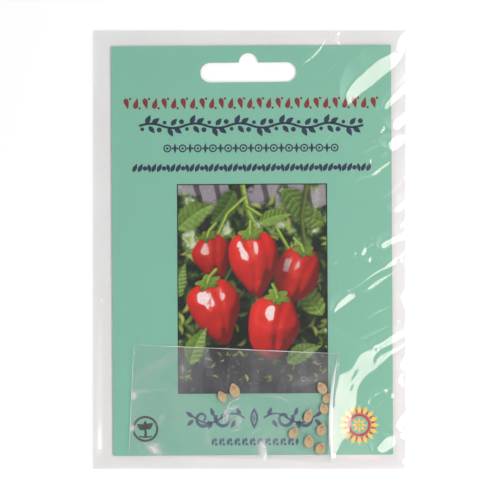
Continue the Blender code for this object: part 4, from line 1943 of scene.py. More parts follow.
        def sprig(flip: int) -> list[Shape]:
            """Returns a bent stem with leaves, upwards or downwards.

            Args:
                flip: 1 for upwards and -1 for downwards.

            Returns:
                Its shapes.
            """
            bend = np.linspace(-3.9, 3.9, 12)
            stem = [(t, flip * 0.75 * math.cos(t * math.pi / 7.8)) for t in bend]
            return [
                [ribbon(stem, 0.8, 0.8)],
                [leaf(-1.6, flip * 0.7, 3.4, 1.75, flip * 62.0)],
                [leaf(0.5, flip * 0.8, 3.1, 1.7, flip * 35.0)],
                [leaf(-0.6, -flip * 0.1, 3.1, 1.65, -flip * 50.0)],
                [disc(2.9, -flip * 1.35, 0.85)],
                [disc(-2.8, -flip * 1.1, 0.65)],
            ]

        self.row("print_vine", Ink.NAVY, sprig(1), sprig(-1), (-33.0, 41.7), 34.6, 10)
        loop_flower = [ring(1.35, 0.88), [disc(0.0, 0.0, 0.42)]]
        spike = [[leaf(0.0, -1.75, 3.5, 0.95, 90.0, 0.5)], [disc(-0.8, 0.0, 0.33)],
                 [disc(0.8, 0.0, 0.33)]]
        self.row("print_fine_row", Ink.NAVY, loop_flower, spike, (-27.4, 34.1), 28.8, 23)
        twin = [[leaf(-1.45, -1.2, 3.2, 1.45, 62.0)], [leaf(0.35, -1.2, 3.2, 1.45, 62.0)]]
        dots = [[disc(-0.55, 0.0, 0.78)], [leaf(0.6, 1.4, 2.9, 1.3, -78.0)]]
        self.row("print_leaves", Ink.NAVY, twin, dots, (-37.6, 27.4), 39.2, 25)
        grain = [[leaf(0.0, -1.35, 2.7, 1.0, 82.0, 0.5)]]
        dot = [[disc(0.0, -0.8, 0.48)], [leaf(-0.1, -0.15, 1.6, 0.8, 96.0, 0.5)]]
        self.row("print_foot_row", Ink.SLATE, grain, dot, (-12.8, -64.6), 15.5, 23)

    def print_flourish(self) -> None:
        """Prints the large scrolled ornament under the picture."""
        shapes: list[Shape] = []
        for flip in (1, -1):
            for centre, radius, turns, start in ((17.4, 2.7, 1.15, 200.0), (10.2, 2.9, 1.1, 20.0)):
                bend = 1 if centre > 12 else -1
                line = scroll(radius, turns, start, bend)
                points = [(flip * (centre + x), y * 1.1) for x, y in line]
                shapes.append([ribbon(points, 1.3, 0.5)])
            wave = [(flip * t, 1.6 * math.sin((t - 3.0) * 0.38)) for t in np.linspace(3.2, 21.8, 36)]
            shapes.append([ribbon(wave, 0.6, 0.6)])
            for x, y, angle in ((4.6, 0.9, 64.0), (6.2, -0.6, -58.0), (13.6, 0.8, 70.0),
                                (14.2, -0.9, -66.0), (20.6, 0.5, 38.0), (20.4, -0.4, -44.0)):
                tip = angle if flip > 0 else 180.0 - angle
                shapes.append([leaf(flip * x, y, 3.1, 1.4, tip)])
        shapes.append([leaf(0.0, -3.6, 7.2, 2.8, 90.0, 0.5), leaf(0.0, -2.2, 4.4, 1.1, 90.0, 0.5)])
        shapes.append([leaf(0.0, -1.3, 2.6, 0.65, 90.0, 0.5)])
        self.single("print_flourish", Ink.SLATE, shapes, 1.3, -56.7)

    def print_seedling(self) -> None:
        """Prints the ringed seedling at the left of the foot."""
        shapes = [
            ring(4.4, 3.6, 48),
            [ribbon([(0.0, -3.0), (0.1, -1.4), (-0.05, 0.4)], 0.95, 0.7)],
            [leaf(0.1, 0.0, 3.2, 2.0, 38.0)],
            [leaf(-0.1, -0.2, 3.3, 2.05, 146.0)],
            [leaf(0.0, 0.3, 2.6, 1.4, 92.0)],
            [ribbon([(-2.1, -2.5), (0.0, -2.85), (2.1, -2.5)], 0.5, 0.5)],
        ]
        self.single("print_seedling", Ink.DARK, shapes, -35.3, -60.1)

    def print_sun(self) -> None:
        """Prints the sun rosette at the right of the foot."""
        rays: list[Shape] = []
        points: list[Shape] = []
        for k in range(16):
            angle = 22.5 * k
            c, s = math.cos(math.radians(angle)), math.sin(math.radians(angle))
            rays.append([leaf(4.1 * c, 4.1 * s, 2.7, 1.35, angle, 0.35)])
            turn = math.radians(angle + 11.25)
            points.append([leaf(3.9 * math.cos(turn), 3.9 * math.sin(turn), 1.9, 0.7,
                                angle + 11.25, 0.35)])
        self.single("print_sun_rays", Ink.YELLOW, rays, 36.6, -59.2)
        self.single("print_sun_points", Ink.SCARLET, points + [ring(3.85, 2.95, 40)],
                    36.6, -59.2)
        petals = [[leaf(0.6 * math.cos(a), 0.6 * math.sin(a), 2.0, 0.85, math.degrees(a))]
                  for a in np.radians(np.arange(8) * 45.0)]
        self.single("print_sun_face", Ink.YELLOW, petals + [[disc(0.0, 0.0, 0.45)]], 36.6, -59.2)


class Canvas:
    """An even grid of colours, with its points in millimetres from the picture's centre."""

    def __init__(self, columns: Array, rows: Array) -> None:
        """Lays out the grid.

        Args:
            columns: Its upright lines.
            rows: Its level lines.
        """
        self.u, self.v = np.meshgrid(columns, rows)
        self.step = (rows[1] - rows[0], columns[1] - columns[0])
        self.colours = np.zeros((*self.u.shape, 3))

    def over(self, mask: Array, colour: Array | Colour) -> None:
        """Paints a colour over the canvas through a mask."""
        self.colours += (np.asarray(colour) - self.colours) * np.clip(mask, 0.0, 1.0)[..., None]

    def clouds(self, size: float, seed: int, layers: int = 3, stretch: float = 1.0) -> Array:
        """Returns an uneven field between 0 and 1.

        Args:
            size: Size of its largest features.
            seed: The seed of the draw.
            layers: How many fields, each finer and fainter, are added up.
            stretch: How much longer the features are upwards than sideways.

        Returns:
            The field at each point.
        """
        draw = np.random.default_rng(seed)
        total = np.zeros(self.u.shape)
        for layer in range(layers):
            pitch = size * 0.5 ** layer
            column = (self.u - self.u.min()) / pitch
            row = (self.v - self.v.min()) / (pitch * stretch)
            values = draw.random((int(row.max()) + 2, int(column.max()) + 2))
            total += between(values, row, column, soft_steps=True) * 0.55 ** layer
        return total / sum(0.55 ** layer for layer in range(layers))

    def facing(self, height: Array, way: tuple[float, float, float]) -> Array:
        """Returns how squarely a surface of this height faces a direction, from -1 to 1.

        Args:
            height: The surface's height at each point.
            way: The direction.

        Returns:
            How squarely each point faces it.
        """
        up, across = np.gradient(height, *self.step)
        wanted = Vector(way).normalized()
        return ((wanted.z - wanted.x * across - wanted.y * up)
                / np.sqrt(1.0 + across ** 2 + up ** 2))


# The light in the picture: where it comes from, where it glints, and the colour of shade
SUNLIGHT = (-0.45, 0.62, 0.64)
GLINT = (-0.25, 0.34, 0.91)
SHADE = (0.01, 0.012, 0.008)


def soft(value: Array, blur: float = 0.3) -> Array:
    """Returns a mask that is full where the value is above 0, with a soft edge."""
    return np.clip(0.5 + value / blur, 0.0, 1.0)


@dataclass(frozen=True)
class Stem:
    """A painted round stem along a line of points."""

    points: tuple[Point, ...]
    width: float
    colour: Colour = (0.27, 0.40, 0.06)

    def paint(self, canvas: Canvas) -> None:
        """Paints the stem with a lit left side.

        Args:
            canvas: The canvas to paint on.
        """
        line = np.array(self.points)
        steps = np.linspace(0.0, len(line) - 1.0, 30)
        x = np.interp(steps, np.arange(len(line)), line[:, 0])
        y = np.interp(steps, np.arange(len(line)), line[:, 1])
        nearest = np.full(canvas.u.shape, np.inf)
        side = np.zeros(canvas.u.shape)
        for ax, ay, bx, by in zip(x, y, x[1:], y[1:]):
            sx, sy = bx - ax, by - ay
            length = math.hypot(sx, sy)
            du, dv = canvas.u - ax, canvas.v - ay
            t = np.clip((du * sx + dv * sy) / length ** 2, 0.0, 1.0)
            gap = np.hypot(du - t * sx, dv - t * sy)
            side = np.where(gap < nearest, (du * sy - dv * sx) / length, side)
            nearest = np.minimum(nearest, gap)
        part = side / self.width * 2.0
        tone = 0.35 + 0.85 * share(part, 1.1, -0.6) + 0.5 * np.exp(-((part + 0.35) / 0.25) ** 2)
        tone *= 0.85 + 0.3 * canvas.clouds(1.6, 77, 2)
        shadow = soft(self.width * 0.8 - nearest, 1.2)
        canvas.over(0.4 * shadow, SHADE)
        canvas.over(soft(self.width / 2 - nearest), tone[..., None] * np.array(self.colour))


@dataclass(frozen=True)
class Leaf:
    """A painted broad leaf: its root, its size, the way it points and how sunlit it is."""

    x: float
    y: float
    length: float
    width: float
    angle: float
    light: float
    blur: float = 0.3
    shaded: Colour = (0.035, 0.085, 0.018)
    sunlit: Colour = (0.24, 0.40, 0.055)

    def paint(self, canvas: Canvas) -> None:
        """Paints the leaf: folded along its rib, puffed between its veins.

        Args:
            canvas: The canvas to paint on.
        """
        du, dv = turned(canvas.u - self.x, canvas.v - self.y, -math.radians(self.angle))
        along = np.clip(du / self.length, 0.0, 1.0)
        dv = dv - 0.3 * self.length * along * (1.0 - along)
        half = self.width / 2 * np.sin(math.pi * along ** 0.72)
        half = half * (1.0 + 0.04 * np.sin(along * 46.0))
        away = np.abs(dv)
        within = (du > 0.0) * (du < self.length)
        mask = soft(half - away, self.blur) * within
        vein = np.abs(np.sin((along * 8.0 - away / self.width * 1.9) * math.pi))
        lumps = canvas.clouds(2.4, int(self.length * 10), 2)
        height = 0.34 * away - 0.05 * away ** 2 + 0.22 * vein + 0.5 * lumps
        lit = canvas.facing(height, SUNLIGHT)
        sheen = np.clip(canvas.facing(height, GLINT), 0.0, 1.0) ** 24
        base = np.array(self.shaded) * (1 - self.light) + np.array(self.sunlit) * self.light
        tone = 0.25 + 0.95 * np.clip(lit, 0.0, 1.0)
        tone *= 0.8 + 0.2 * share(vein, 0.0, 0.35)
        canvas.over(0.5 * soft(half + 0.7 - away, 1.6) * within, SHADE)
        canvas.over(mask, tone[..., None] * base)
        canvas.over(0.22 * sheen * self.light * mask, (0.75, 0.82, 0.62))
        rib = soft(0.14 - away, 0.22) * mask
        canvas.over(0.6 * rib, base * 1.5 + 0.03)


@dataclass(frozen=True)
class Fruit:
    """A painted pepper: its middle, half its width and height, its lean, folds and light."""

    x: float
    y: float
    half_width: float
    half_height: float
    lean: float
    folds: tuple[float, ...]
    seed: int
    light: float = 1.0
    glints: tuple[tuple[float, float, float, float], ...] = ((-0.35, 0.35, 0.3, 0.95),)
    deep: Colour = (0.13, 0.005, 0.006)
    bright: Colour = (0.80, 0.022, 0.014)

    def paint(self, canvas: Canvas) -> None:
        """Paints the pepper: a creased lantern with sharp glints, and its green cap.

        Args:
            canvas: The canvas to paint on.
        """
        du, dv = turned(canvas.u - self.x, canvas.v - self.y, -math.radians(self.lean))
        up = dv / self.half_height
        narrow = 1.0 - 0.34 * ease(-up, -0.7, 1.15)
        across = du / self.half_width / narrow
        angle = np.arctan2(up, across)
        outline = (1.0 + 0.05 * np.cos(3.0 * angle + self.seed)
                   + 0.03 * np.sin(5.0 * angle + 1.9 * self.seed))
        part = np.hypot(across, up) / outline
        mask = soft((1.0 - part) * self.half_width, 0.4)
        shade = np.hypot((du - 1.4) / (self.half_width * 1.15), (dv + 1.8) / self.half_height / 1.1)
        canvas.over(0.65 * soft(1.0 - shade, 0.35), (0.008, 0.009, 0.007))
        dome = np.sqrt(np.clip(1.0 - part ** 2, 0.0, 1.0))
        wander = across + 0.12 * np.sin(2.2 * up + self.seed)
        height = 0.9 * dome + 0.22 * (canvas.clouds(5.5, 300 + self.seed, 2) - 0.5) * dome
        for place in self.folds:
            depth = 0.15 * (0.30 + 0.70 * np.abs(up)) * np.sqrt(dome)
            height = height - depth * np.exp(-((wander - place) / 0.17) ** 2)
        height = height * self.half_width
        lit = np.clip(canvas.facing(height, SUNLIGHT), 0.0, 1.0)
        below = np.clip(canvas.facing(height, (0.5, -0.75, 0.2)), 0.0, 1.0)
        deep, bright = np.array(self.deep), np.array(self.bright) * self.light
        colour = deep + (bright - deep) * (lit ** 0.6)[..., None]
        colour += 0.05 * below[..., None] * np.array((1.0, 0.12, 0.06)) * self.light
        canvas.over(mask, colour)
        square = np.clip(canvas.facing(height, GLINT), 0.0, 1.0)
        canvas.over(0.30 * square ** 16 * mask * self.light, (0.95, 0.20, 0.15))
        torn = canvas.clouds(2.2, 500 + self.seed, 3)
        for x, y, size, most in self.glints:
            near = np.exp(-((across - x) / size) ** 2 - ((up - y) / size / 1.5) ** 2)
            there = share(square + 0.03 * near, 0.985, 0.997) * share(near, 0.25, 0.55)
            canvas.over(most * there * share(torn, 0.36, 0.48) * mask, (0.95, 0.80, 0.78))
        self.paint_cap(canvas, du, dv)

    def paint_cap(self, canvas: Canvas, du: Array, dv: Array) -> None:
        """Paints the green cap with its five points and the start of the stalk.

        Args:
            canvas: The canvas.
            du: The canvas points in the pepper's own directions, sideways.
            dv: The same upwards.
        """
        away = dv - self.half_height * 0.9
        size = self.half_width * 0.40
        turn = np.arctan2(away * 1.7, du)
        reach = np.hypot(du, away * 1.7) / size
        star = 1.0 + 0.24 * np.cos(5.0 * turn + self.seed)
        mask = soft((star - reach) * size, 0.35)
        height = size * 0.5 * np.sqrt(np.clip(1.2 - reach ** 2 * 0.6, 0.0, 1.0))
        height = height + 0.10 * np.cos(10.0 * turn) * np.clip(reach, 0.0, 1.0)
        lit = np.clip(canvas.facing(height, SUNLIGHT), 0.0, 1.0)
        tone = (0.3 + 0.9 * lit)[..., None] * self.light
        canvas.over(0.5 * soft((star + 0.15 - reach) * size, 0.8), (0.03, 0.004, 0.004))
        canvas.over(mask, tone * np.array((0.22, 0.36, 0.05)))


@dataclass
class Picture:
    """The printed picture: glossy red peppers among leaves, painted from formulas."""

    card: Card
    centre: Point = (1.05 * MM, -13.15 * MM)
    width: float = 50.5 * MM
    height: float = 70.5 * MM
    border: float = 0.34
    step: float = 0.24 * MM
    finish: PictureFinish = PictureFinish()
    far: tuple[Leaf | Stem, ...] = (
        Leaf(-25.0, 20.0, 15.0, 8.0, 34.0, 0.75, 0.9),
        Leaf(24.0, 22.0, 15.0, 7.5, 148.0, 0.6, 0.9),
        Leaf(10.5, 33.5, 16.0, 8.0, -58.0, 0.4, 0.5),
        Leaf(-6.0, 33.0, 14.0, 7.0, -126.0, 0.25, 0.5),
        Leaf(23.5, -9.0, 15.0, 7.5, 118.0, 0.85, 0.5),
        Leaf(-25.5, -2.0, 11.0, 5.5, 74.0, 0.7, 0.7),
        Stem(((18.5, 36.0), (16.5, 24.0), (18.0, 10.0)), 1.5, (0.10, 0.13, 0.03)),
        Stem(((-3.5, 36.0), (-1.8, 27.0), (1.4, 19.5)), 1.7),
        Stem(((-2.4, 31.0), (-8.5, 25.5), (-12.0, 18.0)), 1.1),
        Stem(((-1.7, 27.5), (7.5, 21.5), (12.0, 13.5)), 1.1),
        Stem(((0.6, 21.5), (-5.5, 10.0), (-9.5, 2.5)), 1.0),
        Stem(((1.0, 20.0), (8.5, 6.0), (6.0, -2.5)), 1.0),
    )
    fruits: tuple[Fruit, ...] = (
        Fruit(-13.5, 10.8, 6.8, 7.8, 12.0, (0.25,), 3, 0.72, ((-0.4, 0.4, 0.3, 0.6),)),
        Fruit(14.8, 4.5, 8.4, 9.6, -17.0, (-0.35, 0.45), 8, 0.85,
              ((-0.6, 0.4, 0.3, 0.7), (0.1, 0.3, 0.25, 0.5))),
        Fruit(0.6, 8.8, 9.0, 10.8, 7.0, (-0.15, 0.5), 5, 1.0,
              ((-0.5, 0.4, 0.35, 0.95), (0.25, 0.45, 0.2, 0.8))),
        Fruit(-12.4, -7.4, 9.2, 11.0, 15.0, (0.2,), 11, 0.95,
              ((-0.3, 0.45, 0.4, 0.95), (0.5, 0.35, 0.2, 0.7))),
        Fruit(6.8, -13.0, 9.6, 11.4, -9.0, (-0.5, 0.3), 14, 1.0,
              ((-0.15, 0.4, 0.35, 0.95), (0.6, 0.1, 0.25, 0.7))),
    )
    near: tuple[Leaf, ...] = (
        Leaf(-21.0, -25.5, 13.5, 6.5, 66.0, 0.8),
        Leaf(11.5, -25.0, 13.0, 6.0, 26.0, 0.6),
        Leaf(2.2, 22.0, 11.5, 5.2, 14.0, 0.85),
    )

    def backdrop(self, canvas: Canvas) -> None:
        """Paints the dappled undergrowth, the pale gaps in it and the earth at the foot.

        Args:
            canvas: The canvas to paint on.
        """
        v = canvas.v
        canvas.colours[:] = (0.010, 0.014, 0.009)
        low = ease(-v, 17.0, 24.0)
        sunny = 0.10 * ease(v, -12.0, 26.0) + 0.05 * ease(-canvas.u, -4.0, 22.0)
        dapple = canvas.clouds(4.2, 1, 4) + sunny - 0.25 * low
        canvas.over(share(dapple, 0.50, 0.60), (0.030, 0.060, 0.016))
        canvas.over(share(dapple, 0.62, 0.68), (0.10, 0.17, 0.045))
        canvas.over(share(dapple, 0.70, 0.75), (0.28, 0.38, 0.16))
        canvas.over(share(dapple, 0.77, 0.82), (0.62, 0.68, 0.50))
        sky = soft(v - 25.0 - 9.0 * canvas.clouds(9.0, 5, 2) + 5.0 * (canvas.u > 8.0), 2.5)
        sky *= share(canvas.clouds(5.0, 6, 3), 0.42, 0.50)
        canvas.over(0.85 * sky, (0.36, 0.32, 0.36))
        lean = canvas.u * 0.83 + 0.12 * v + 1.4 * canvas.clouds(7.0, 15, 2)
        posts = share(np.sin(lean) + 0.4 * np.sin(lean * 2.3), 0.5, 0.75) * ease(v, 19.0, 23.0)
        canvas.over(0.8 * posts, (0.040, 0.032, 0.030))
        canvas.over(low, (0.007, 0.0065, 0.010))
        streaks = canvas.clouds(2.6, 9, 3, 3.5)
        canvas.over(low * share(streaks, 0.45, 0.85), (0.060, 0.054, 0.078))
        grit = canvas.clouds(0.9, 10, 2)
        canvas.over(0.45 * low * share(grit, 0.72, 0.85), (0.21, 0.20, 0.21))

    def flecks(self, canvas: Canvas) -> None:
        """Paints small sunlit leaves, blurred more the further back they are.

        Args:
            canvas: The canvas to paint on.
        """
        draw = np.random.default_rng(41)
        for _ in range(300):
            x = draw.uniform(-25.0, 25.0)
            y = 31.0 - 62.0 * draw.random() ** 0.85
            size = draw.uniform(0.25, 1.0) * (0.6 if y < -20.0 else 1.0)
            turn = draw.uniform(0.0, math.pi)
            blur = draw.uniform(0.25, 1.3)
            warm = draw.random()
            strength = draw.uniform(0.3, 1.0)
            du, dv = turned(canvas.u - x, canvas.v - y, -turn)
            dv = dv - 0.12 * du ** 2 / size
            mask = soft(1.0 - np.hypot(du / (2.0 * size), dv / (0.7 * size)), blur)
            colour = (0.15 + 0.36 * warm, 0.27 + 0.30 * warm, 0.03 + 0.09 * warm)
            canvas.over(strength * mask, colour)

    def paint(self, canvas: Canvas) -> None:
        """Paints the whole picture, from the back to the front.

        Args:
            canvas: The canvas to paint on.
        """
        self.backdrop(canvas)
        self.flecks(canvas)
        for motif in (*self.far, *self.fruits, *self.near):
            motif.paint(canvas)
        for fruit in self.fruits:
            lean = math.radians(fruit.lean)
            top = (fruit.x - fruit.half_height * 0.9 * math.sin(lean),
                   fruit.y + fruit.half_height * 0.9 * math.cos(lean))
            end = (top[0] * 0.82, top[1] + 4.2)
            Stem((top, (top[0] * 0.96, top[1] + 1.9), end), 1.1).paint(canvas)
        grain = 0.93 + 0.14 * canvas.clouds(0.7, 12, 2)
        canvas.colours *= grain[..., None]
        inner = np.minimum(self.width / 2 / MM - np.abs(canvas.u),
                           self.height / 2 / MM - np.abs(canvas.v))
        canvas.over(soft(self.border - inner, 0.15), (0.012, 0.012, 0.014))

    def build(self, effects: Effects) -> None:
        """Makes the picture's thin plate and paints its points.

        Args:
            effects: The shared shader groups.
        """
        columns = stops((-self.width / 2, self.width / 2, self.step))
        rows = stops((-self.height / 2, self.height / 2, self.step))
        canvas = Canvas(columns / MM, rows / MM)
        self.paint(canvas)
        net = grid_net(columns, rows)
        count = len(net.points)
        x, y = turned(*net.points.T, self.card.turn)
        top = np.stack([x + self.centre[0], y + self.centre[1],
                        np.full(count, CARD_TOP + PRINT_THICKNESS)], 1)
        border = net.border()
        following = dict(border)
        loop = [border[0][0]]
        while following[loop[-1]] != loop[0]:
            loop.append(following[loop[-1]])
        foot = top[loop]
        foot[:, 2] = CARD_TOP
        lower = {v: count + k for k, v in enumerate(loop)}
        faces = list(net.faces)
        faces += [(b, a, lower[a], lower[b]) for a, b in border]
        faces.append(tuple(lower[v] for v in reversed(loop)))
        mesh = bpy.data.meshes.new("print_picture")
        mesh.from_pydata(np.concatenate([top, foot]), [], faces)
        painted = mesh.color_attributes.new(self.finish.attribute, "FLOAT_COLOR", "POINT")
        colours = np.ones((count + len(loop), 4))
        colours[:count, :3] = np.clip(canvas.colours, 0.0, 1.0).reshape(-1, 3)
        colours[count:, :3] = colours[loop, :3]
        painted.data.foreach_set("color", colours.ravel())
        picture = object_of("print_picture", mesh, self.finish.material(effects))
        on_packet(picture, "printed_card")


@dataclass(frozen=True)
class Seed:
    """One seed: its centre, half length, half width, the way its beak points and its lean."""

    x: float
    y: float
    half_length: float
    half_width: float
    beak_turn: float
    lean: float


@dataclass
class Seeds:
    """The loose pepper seeds: flat ovals with a raised rim, a hollow on each face and a beak."""

    half_thickness: float = 0.42 * MM
    lift_share: float = 0.3
    hollow_share: float = 0.72
    beak_length: float = 0.2
    beak_width: float = 0.30
    sides: int = 72
    ring_count: int = 15
    roughness: float = 0.03 * MM
    finish: SeedFinish = SeedFinish()
    seeds: tuple[Seed, ...] = (
        Seed(-9.10, -49.55, 1.91, 1.43, 122.0, 0.0),
        Seed(-4.95, -47.55, 2.29, 1.76, 107.0, 0.0),
        Seed(24.45, -46.70, 2.06, 1.60, 120.0, 3.0),
        Seed(25.95, -50.08, 1.64, 1.40, 60.0, 6.0),
        Seed(25.10, -53.62, 1.72, 1.55, 118.0, 2.0),
        Seed(19.70, -56.10, 2.14, 1.50, 74.0, 0.0),
        Seed(14.70, -61.75, 1.85, 1.55, 58.0, 0.0),
        Seed(24.15, -60.65, 1.97, 1.70, 77.0, 0.0),
        Seed(19.95, -64.65, 2.06, 1.68, 90.0, 0.0),
        Seed(23.75, -66.90, 1.89, 1.68, 64.0, 0.0),
    )

    def reach(self, angle: float, seed: Seed) -> float:
        """Returns how far a seed's outline is from its centre, at an angle from its beak.

        Args:
            angle: The angle, in radians.
            seed: The seed.

        Returns:
            The distance, in metres.
        """
        oval = seed.half_length * seed.half_width / math.hypot(
            seed.half_width * math.cos(angle), seed.half_length * math.sin(angle))
        turn = math.remainder(angle, 2 * math.pi)
        return oval * (1.0 + self.beak_length * math.exp(-((turn / self.beak_width) ** 2))) * MM

    def thickness(self, part: float) -> float:
        """Returns half the seed's thickness at a share of the way to its outline.

        Args:
            part: The share, from 0 to 1.

        Returns:
            Half the thickness, in metres.
        """
        rim = math.exp(-((part - 0.80) / 0.20) ** 2)
        edge = math.sqrt(max(0.0, 1.0 - part ** 9))
        return self.half_thickness * (self.hollow_share + (1.0 - self.hollow_share) * rim) * edge

    def rows(self) -> list[Point]:
        """Returns each row's share of the way to the outline, and its face: 1, 0 or -1.

        Returns:
            The rows, from the top to the bottom.
        """
        parts = [math.sin(math.pi / 2 * k / self.ring_count) for k in range(1, self.ring_count)]
        upper = [(part, 1.0) for part in parts]
        return upper + [(1.0, 0.0)] + [(part, -1.0) for part in reversed(parts)]

    def skin(self, number: int, seed: Seed) -> tuple[list, list]:
        """Returns a seed's points about its centre, and their rim, brown and beak masks; the brown
        mask holds painted shade at the outline too.

        Args:
            number: Its number, which picks its own small unevenness.
            seed: Its size.

        Returns:
            The points from the top to the bottom, and three masks for each.
        """
        points = [(0.0, 0.0, self.thickness(0.0))]
        masks = [(0.0, 0.0, 0.0)]
        for part, sign in self.rows():
            for side in range(self.sides):
                angle = 2 * math.pi * side / self.sides
                turn = abs(math.remainder(angle, 2 * math.pi))
                r = part * self.reach(angle, seed)
                x, y = r * math.cos(angle), r * math.sin(angle)
                spot = Vector((x / MM, y / MM, number * 7.3))
                uneven = noise.noise(spot * 1.1) + 0.5 * noise.noise(spot * 3.0)
                fade = 1.0 - part ** 6
                height = sign * (self.thickness(part) + self.roughness * uneven * fade)
                points.append((x, y, height))
                rim = math.exp(-((part - 0.80) / 0.12) ** 2)
                edge = math.exp(-((part - 1.0) / 0.07) ** 2)
                beak = math.exp(-(turn / 0.34) ** 2) * max(0.0, (part - 0.72) / 0.28)
                stain_and_edge_shade = math.exp(-(turn / 0.75) ** 2) * math.exp(-((part - 0.52) / 0.24) ** 2)
                # The dark band at the outline is painted shade, put into the brown mask.
                masks.append((0.8 * rim, max(stain_and_edge_shade * (0.75 + 0.6 * uneven), 0.6 * edge), beak))
        points.append((0.0, 0.0, -self.thickness(0.0)))
        masks.append((0.0, 0.0, 0.0))
        return points, masks

    def faces(self) -> list[tuple[int, ...]]:
        """Returns the faces between the rows, and the fans at the top and the bottom.

        Returns:
            The faces, by point number.
        """
        count = len(self.rows())
        last = 1 + count * self.sides
        faces: list[tuple[int, ...]] = []
        for side in range(self.sides):
            after = (side + 1) % self.sides
            faces.append((0, 1 + side, 1 + after))
            for row in range(count - 1):
                a, b = 1 + row * self.sides, 1 + (row + 1) * self.sides
                faces.append((a + side, b + side, b + after, a + after))
            end = 1 + (count - 1) * self.sides
            faces.append((last, end + after, end + side))
        return faces

    def make(self, name: str, number: int, seed: Seed, material: Material
             ) -> bpy.types.Object:
        """Makes one seed.

        Args:
            name: Its name.
            number: Its number.
            seed: Its place and size.
            material: The seed coat.

        Returns:
            The seed, closed, in its place.
        """
        points, masks = self.skin(number, seed)
        mesh = bpy.data.meshes.new(name)
        mesh.from_pydata(points, [], self.faces())
        mesh.shade_smooth()
        for mask, values in zip(self.finish.masks, np.clip(masks, 0.0, 1.0).T):
            write_mask(mesh, mask, values)
        lift = seed.half_length * MM * math.sin(math.radians(seed.lean)) * self.lift_share
        height = SEED_FLOOR + self.half_thickness + lift
        place = Matrix.Translation((seed.x * MM, seed.y * MM, height))
        place @= Matrix.Rotation(math.radians(seed.beak_turn), 4, "Z")
        place @= Matrix.Rotation(math.radians(-seed.lean), 4, "Y")
        mesh.transform(place)
        return object_of(name, mesh, material)

    def build(self, effects: Effects) -> None:
        """Makes every seed in the place of its solid.

        Args:
            effects: The shared shader groups.
        """
        material = self.finish.material(effects)
        for number, seed in enumerate(self.seeds, 1):
            piece = self.make(f"seed_coat_{number:02d}", number, seed, material)
            on_packet(piece, "seed_coat", f"seed_{number:02d}")


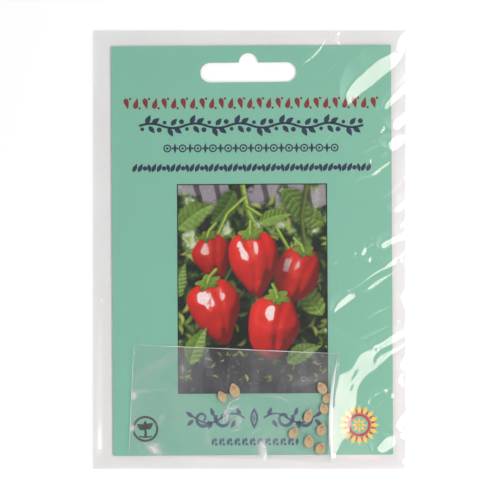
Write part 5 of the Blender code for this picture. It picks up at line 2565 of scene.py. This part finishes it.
@dataclass
class Studio:
    """A pale floor, a soft sky that is darker overhead, two soft lights and the camera."""

    photo_pixels: float = 500.0
    pixels_per_mm: float = 2.9767
    aim: Point = (0.19 * MM, -0.17 * MM)
    lens: float = 200.0
    sensor: float = 36.0
    film_plane: float = 1.0 * MM
    floor_size: float = 6.0
    floor_colour: Colour = (0.90, 0.90, 0.90)
    floor_patch: float = 0.985
    floor_roughness: float = 0.8
    floor_gloss: float = 0.2
    floor_drop: float = 0.02 * MM
    overhead: float = 0.20
    sky: float = 1.38
    sky_colour: Colour = (0.93, 1.045, 1.055)
    overhead_edge: float = math.sin(math.radians(14.0))
    sky_edge: float = math.sin(math.radians(48.0))
    overhead_stretch: float = 0.55
    horizon_edge: float = math.sin(math.radians(33.0))
    horizon_share: float = 0.5
    box_low: Point = (0.235, -0.60)
    box_high: Point = (0.52, 0.15)
    box_height: float = 0.60
    box_radiance: float = 6.3
    box_colour: Colour = (1.0, 0.76, 0.73)
    glow_low: Point = (0.15, -0.40)
    glow_high: Point = (0.235, 0.10)
    glow_radiance: float = 0.8
    film_passes: int = 48

    def make_camera(self) -> None:
        """Sets a long lens straight above the packet, with the photo's frame round it."""
        data = bpy.data.cameras.new("camera")
        data.lens = self.lens
        data.sensor_width = self.sensor
        frame_width = self.photo_pixels / self.pixels_per_mm * MM
        distance = frame_width * self.lens / self.sensor
        data.clip_end = 100.0
        camera = in_scene("camera", data)
        camera.location = (*self.aim, self.film_plane + distance)
        bpy.context.scene.camera = camera

    def make_floor(self, effects: Effects) -> None:
        """Lays the pale floor.

        Args:
            effects: The shared shader groups.
        """
        made = bmesh.new()
        bmesh.ops.create_grid(made, x_segments=1, y_segments=1, size=self.floor_size / 2)
        mesh = finished_mesh("floor", made)
        material, tree = empty_material("floor")
        colour = tree.mix(effects.mask(tree, 3.0), rgba(self.floor_colour),
                          rgba(tuple(self.floor_patch * c for c in self.floor_colour)))
        tree.face({"Base Color": colour, "Roughness": self.floor_roughness,
                   "Specular IOR Level": self.floor_gloss})
        floor = object_of("floor", mesh, material)
        floor.location.z = -self.floor_drop
        floor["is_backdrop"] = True

    def make_sky(self) -> None:
        """Lights the scene from all round, less overhead and towards the horizon."""
        world = bpy.data.worlds.new("sky")
        bpy.context.scene.world = world
        world.use_nodes = True
        world.node_tree.nodes.clear()
        tree = NodeMaker(world.node_tree)
        way = tree.add("ShaderNodeTexCoord").outputs["Generated"]
        flat = tree.add("ShaderNodeVectorMath", {0: way, 1: (1.0, self.overhead_stretch, 0.0)},
                        operation="MULTIPLY")
        reach = tree.add("ShaderNodeVectorMath", {0: flat.outputs[0]}, operation="LENGTH")
        strength = tree.ramp(reach.outputs["Value"], self.overhead_edge, self.sky_edge,
                             self.overhead, self.sky, "SMOOTHSTEP")
        split = tree.add("ShaderNodeSeparateXYZ", {0: way})
        horizon = tree.ramp(split.outputs["Z"], 0.0, self.horizon_edge, self.horizon_share, 1.0,
                            "SMOOTHSTEP")
        light = tree.add("ShaderNodeBackground", {
            "Color": rgba(self.sky_colour), "Strength": tree.calculate("MULTIPLY", strength, horizon)})
        tree.add("ShaderNodeOutputWorld", {"Surface": light.outputs[0]})

    def make_light(self, name: str, low: Point, high: Point,
                   radiance: float) -> None:
        """Hangs one soft light, whose reflection the raised folds throw back to the camera.

        Args:
            name: Its name.
            low: Its lower left corner.
            high: Its upper right corner.
            radiance: How bright its face is.
        """
        data = bpy.data.lights.new(name, "AREA")
        data.shape = "RECTANGLE"
        data.size = high[0] - low[0]
        data.size_y = high[1] - low[1]
        data.color = self.box_colour
        data.energy = radiance * math.pi * data.size * data.size_y
        light = in_scene(name, data)
        light.location = ((low[0] + high[0]) / 2, (low[1] + high[1]) / 2, self.box_height)
        light.visible_camera = False

    def build(self, effects: Effects) -> None:
        """Sets up the camera, the floor and the lights.

        Args:
            effects: The shared shader groups.
        """
        scene = bpy.context.scene
        scene.view_settings.view_transform = "Standard"
        scene.view_settings.look = "None"
        scene.cycles.transparent_max_bounces = self.film_passes
        self.make_camera()
        self.make_floor(effects)
        self.make_sky()
        self.make_light("soft_box", self.box_low, self.box_high, self.box_radiance)
        self.make_light("soft_glow", self.glow_low, self.glow_high, self.glow_radiance)


def corners(bounds: tuple[Vector, Vector]) -> list[list[float]]:
    """Returns a box's two corners as plain lists."""
    return [list(bounds[0]), list(bounds[1])]


def main() -> None:
    """Builds the packet's pieces in order, from the lights to the outer film."""
    logging.basicConfig(level=logging.INFO, format="%(name)s %(message)s")
    solid_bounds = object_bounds()
    effects = Effects(mottle_group(), crinkle_group())
    Studio().build(effects)
    slot = HangSlot()
    card = Card(slot)
    card.build(effects)
    Picture(card).build(effects)
    Print(card, effects).build()
    Seeds().build(effects)
    sachet = Sachet()
    sachet.build(effects)
    FilmBag(sachet, slot, solid_bounds[1].z).build(effects)
    bpy.context.view_layer.update()


if __name__ == "__main__":
    main()
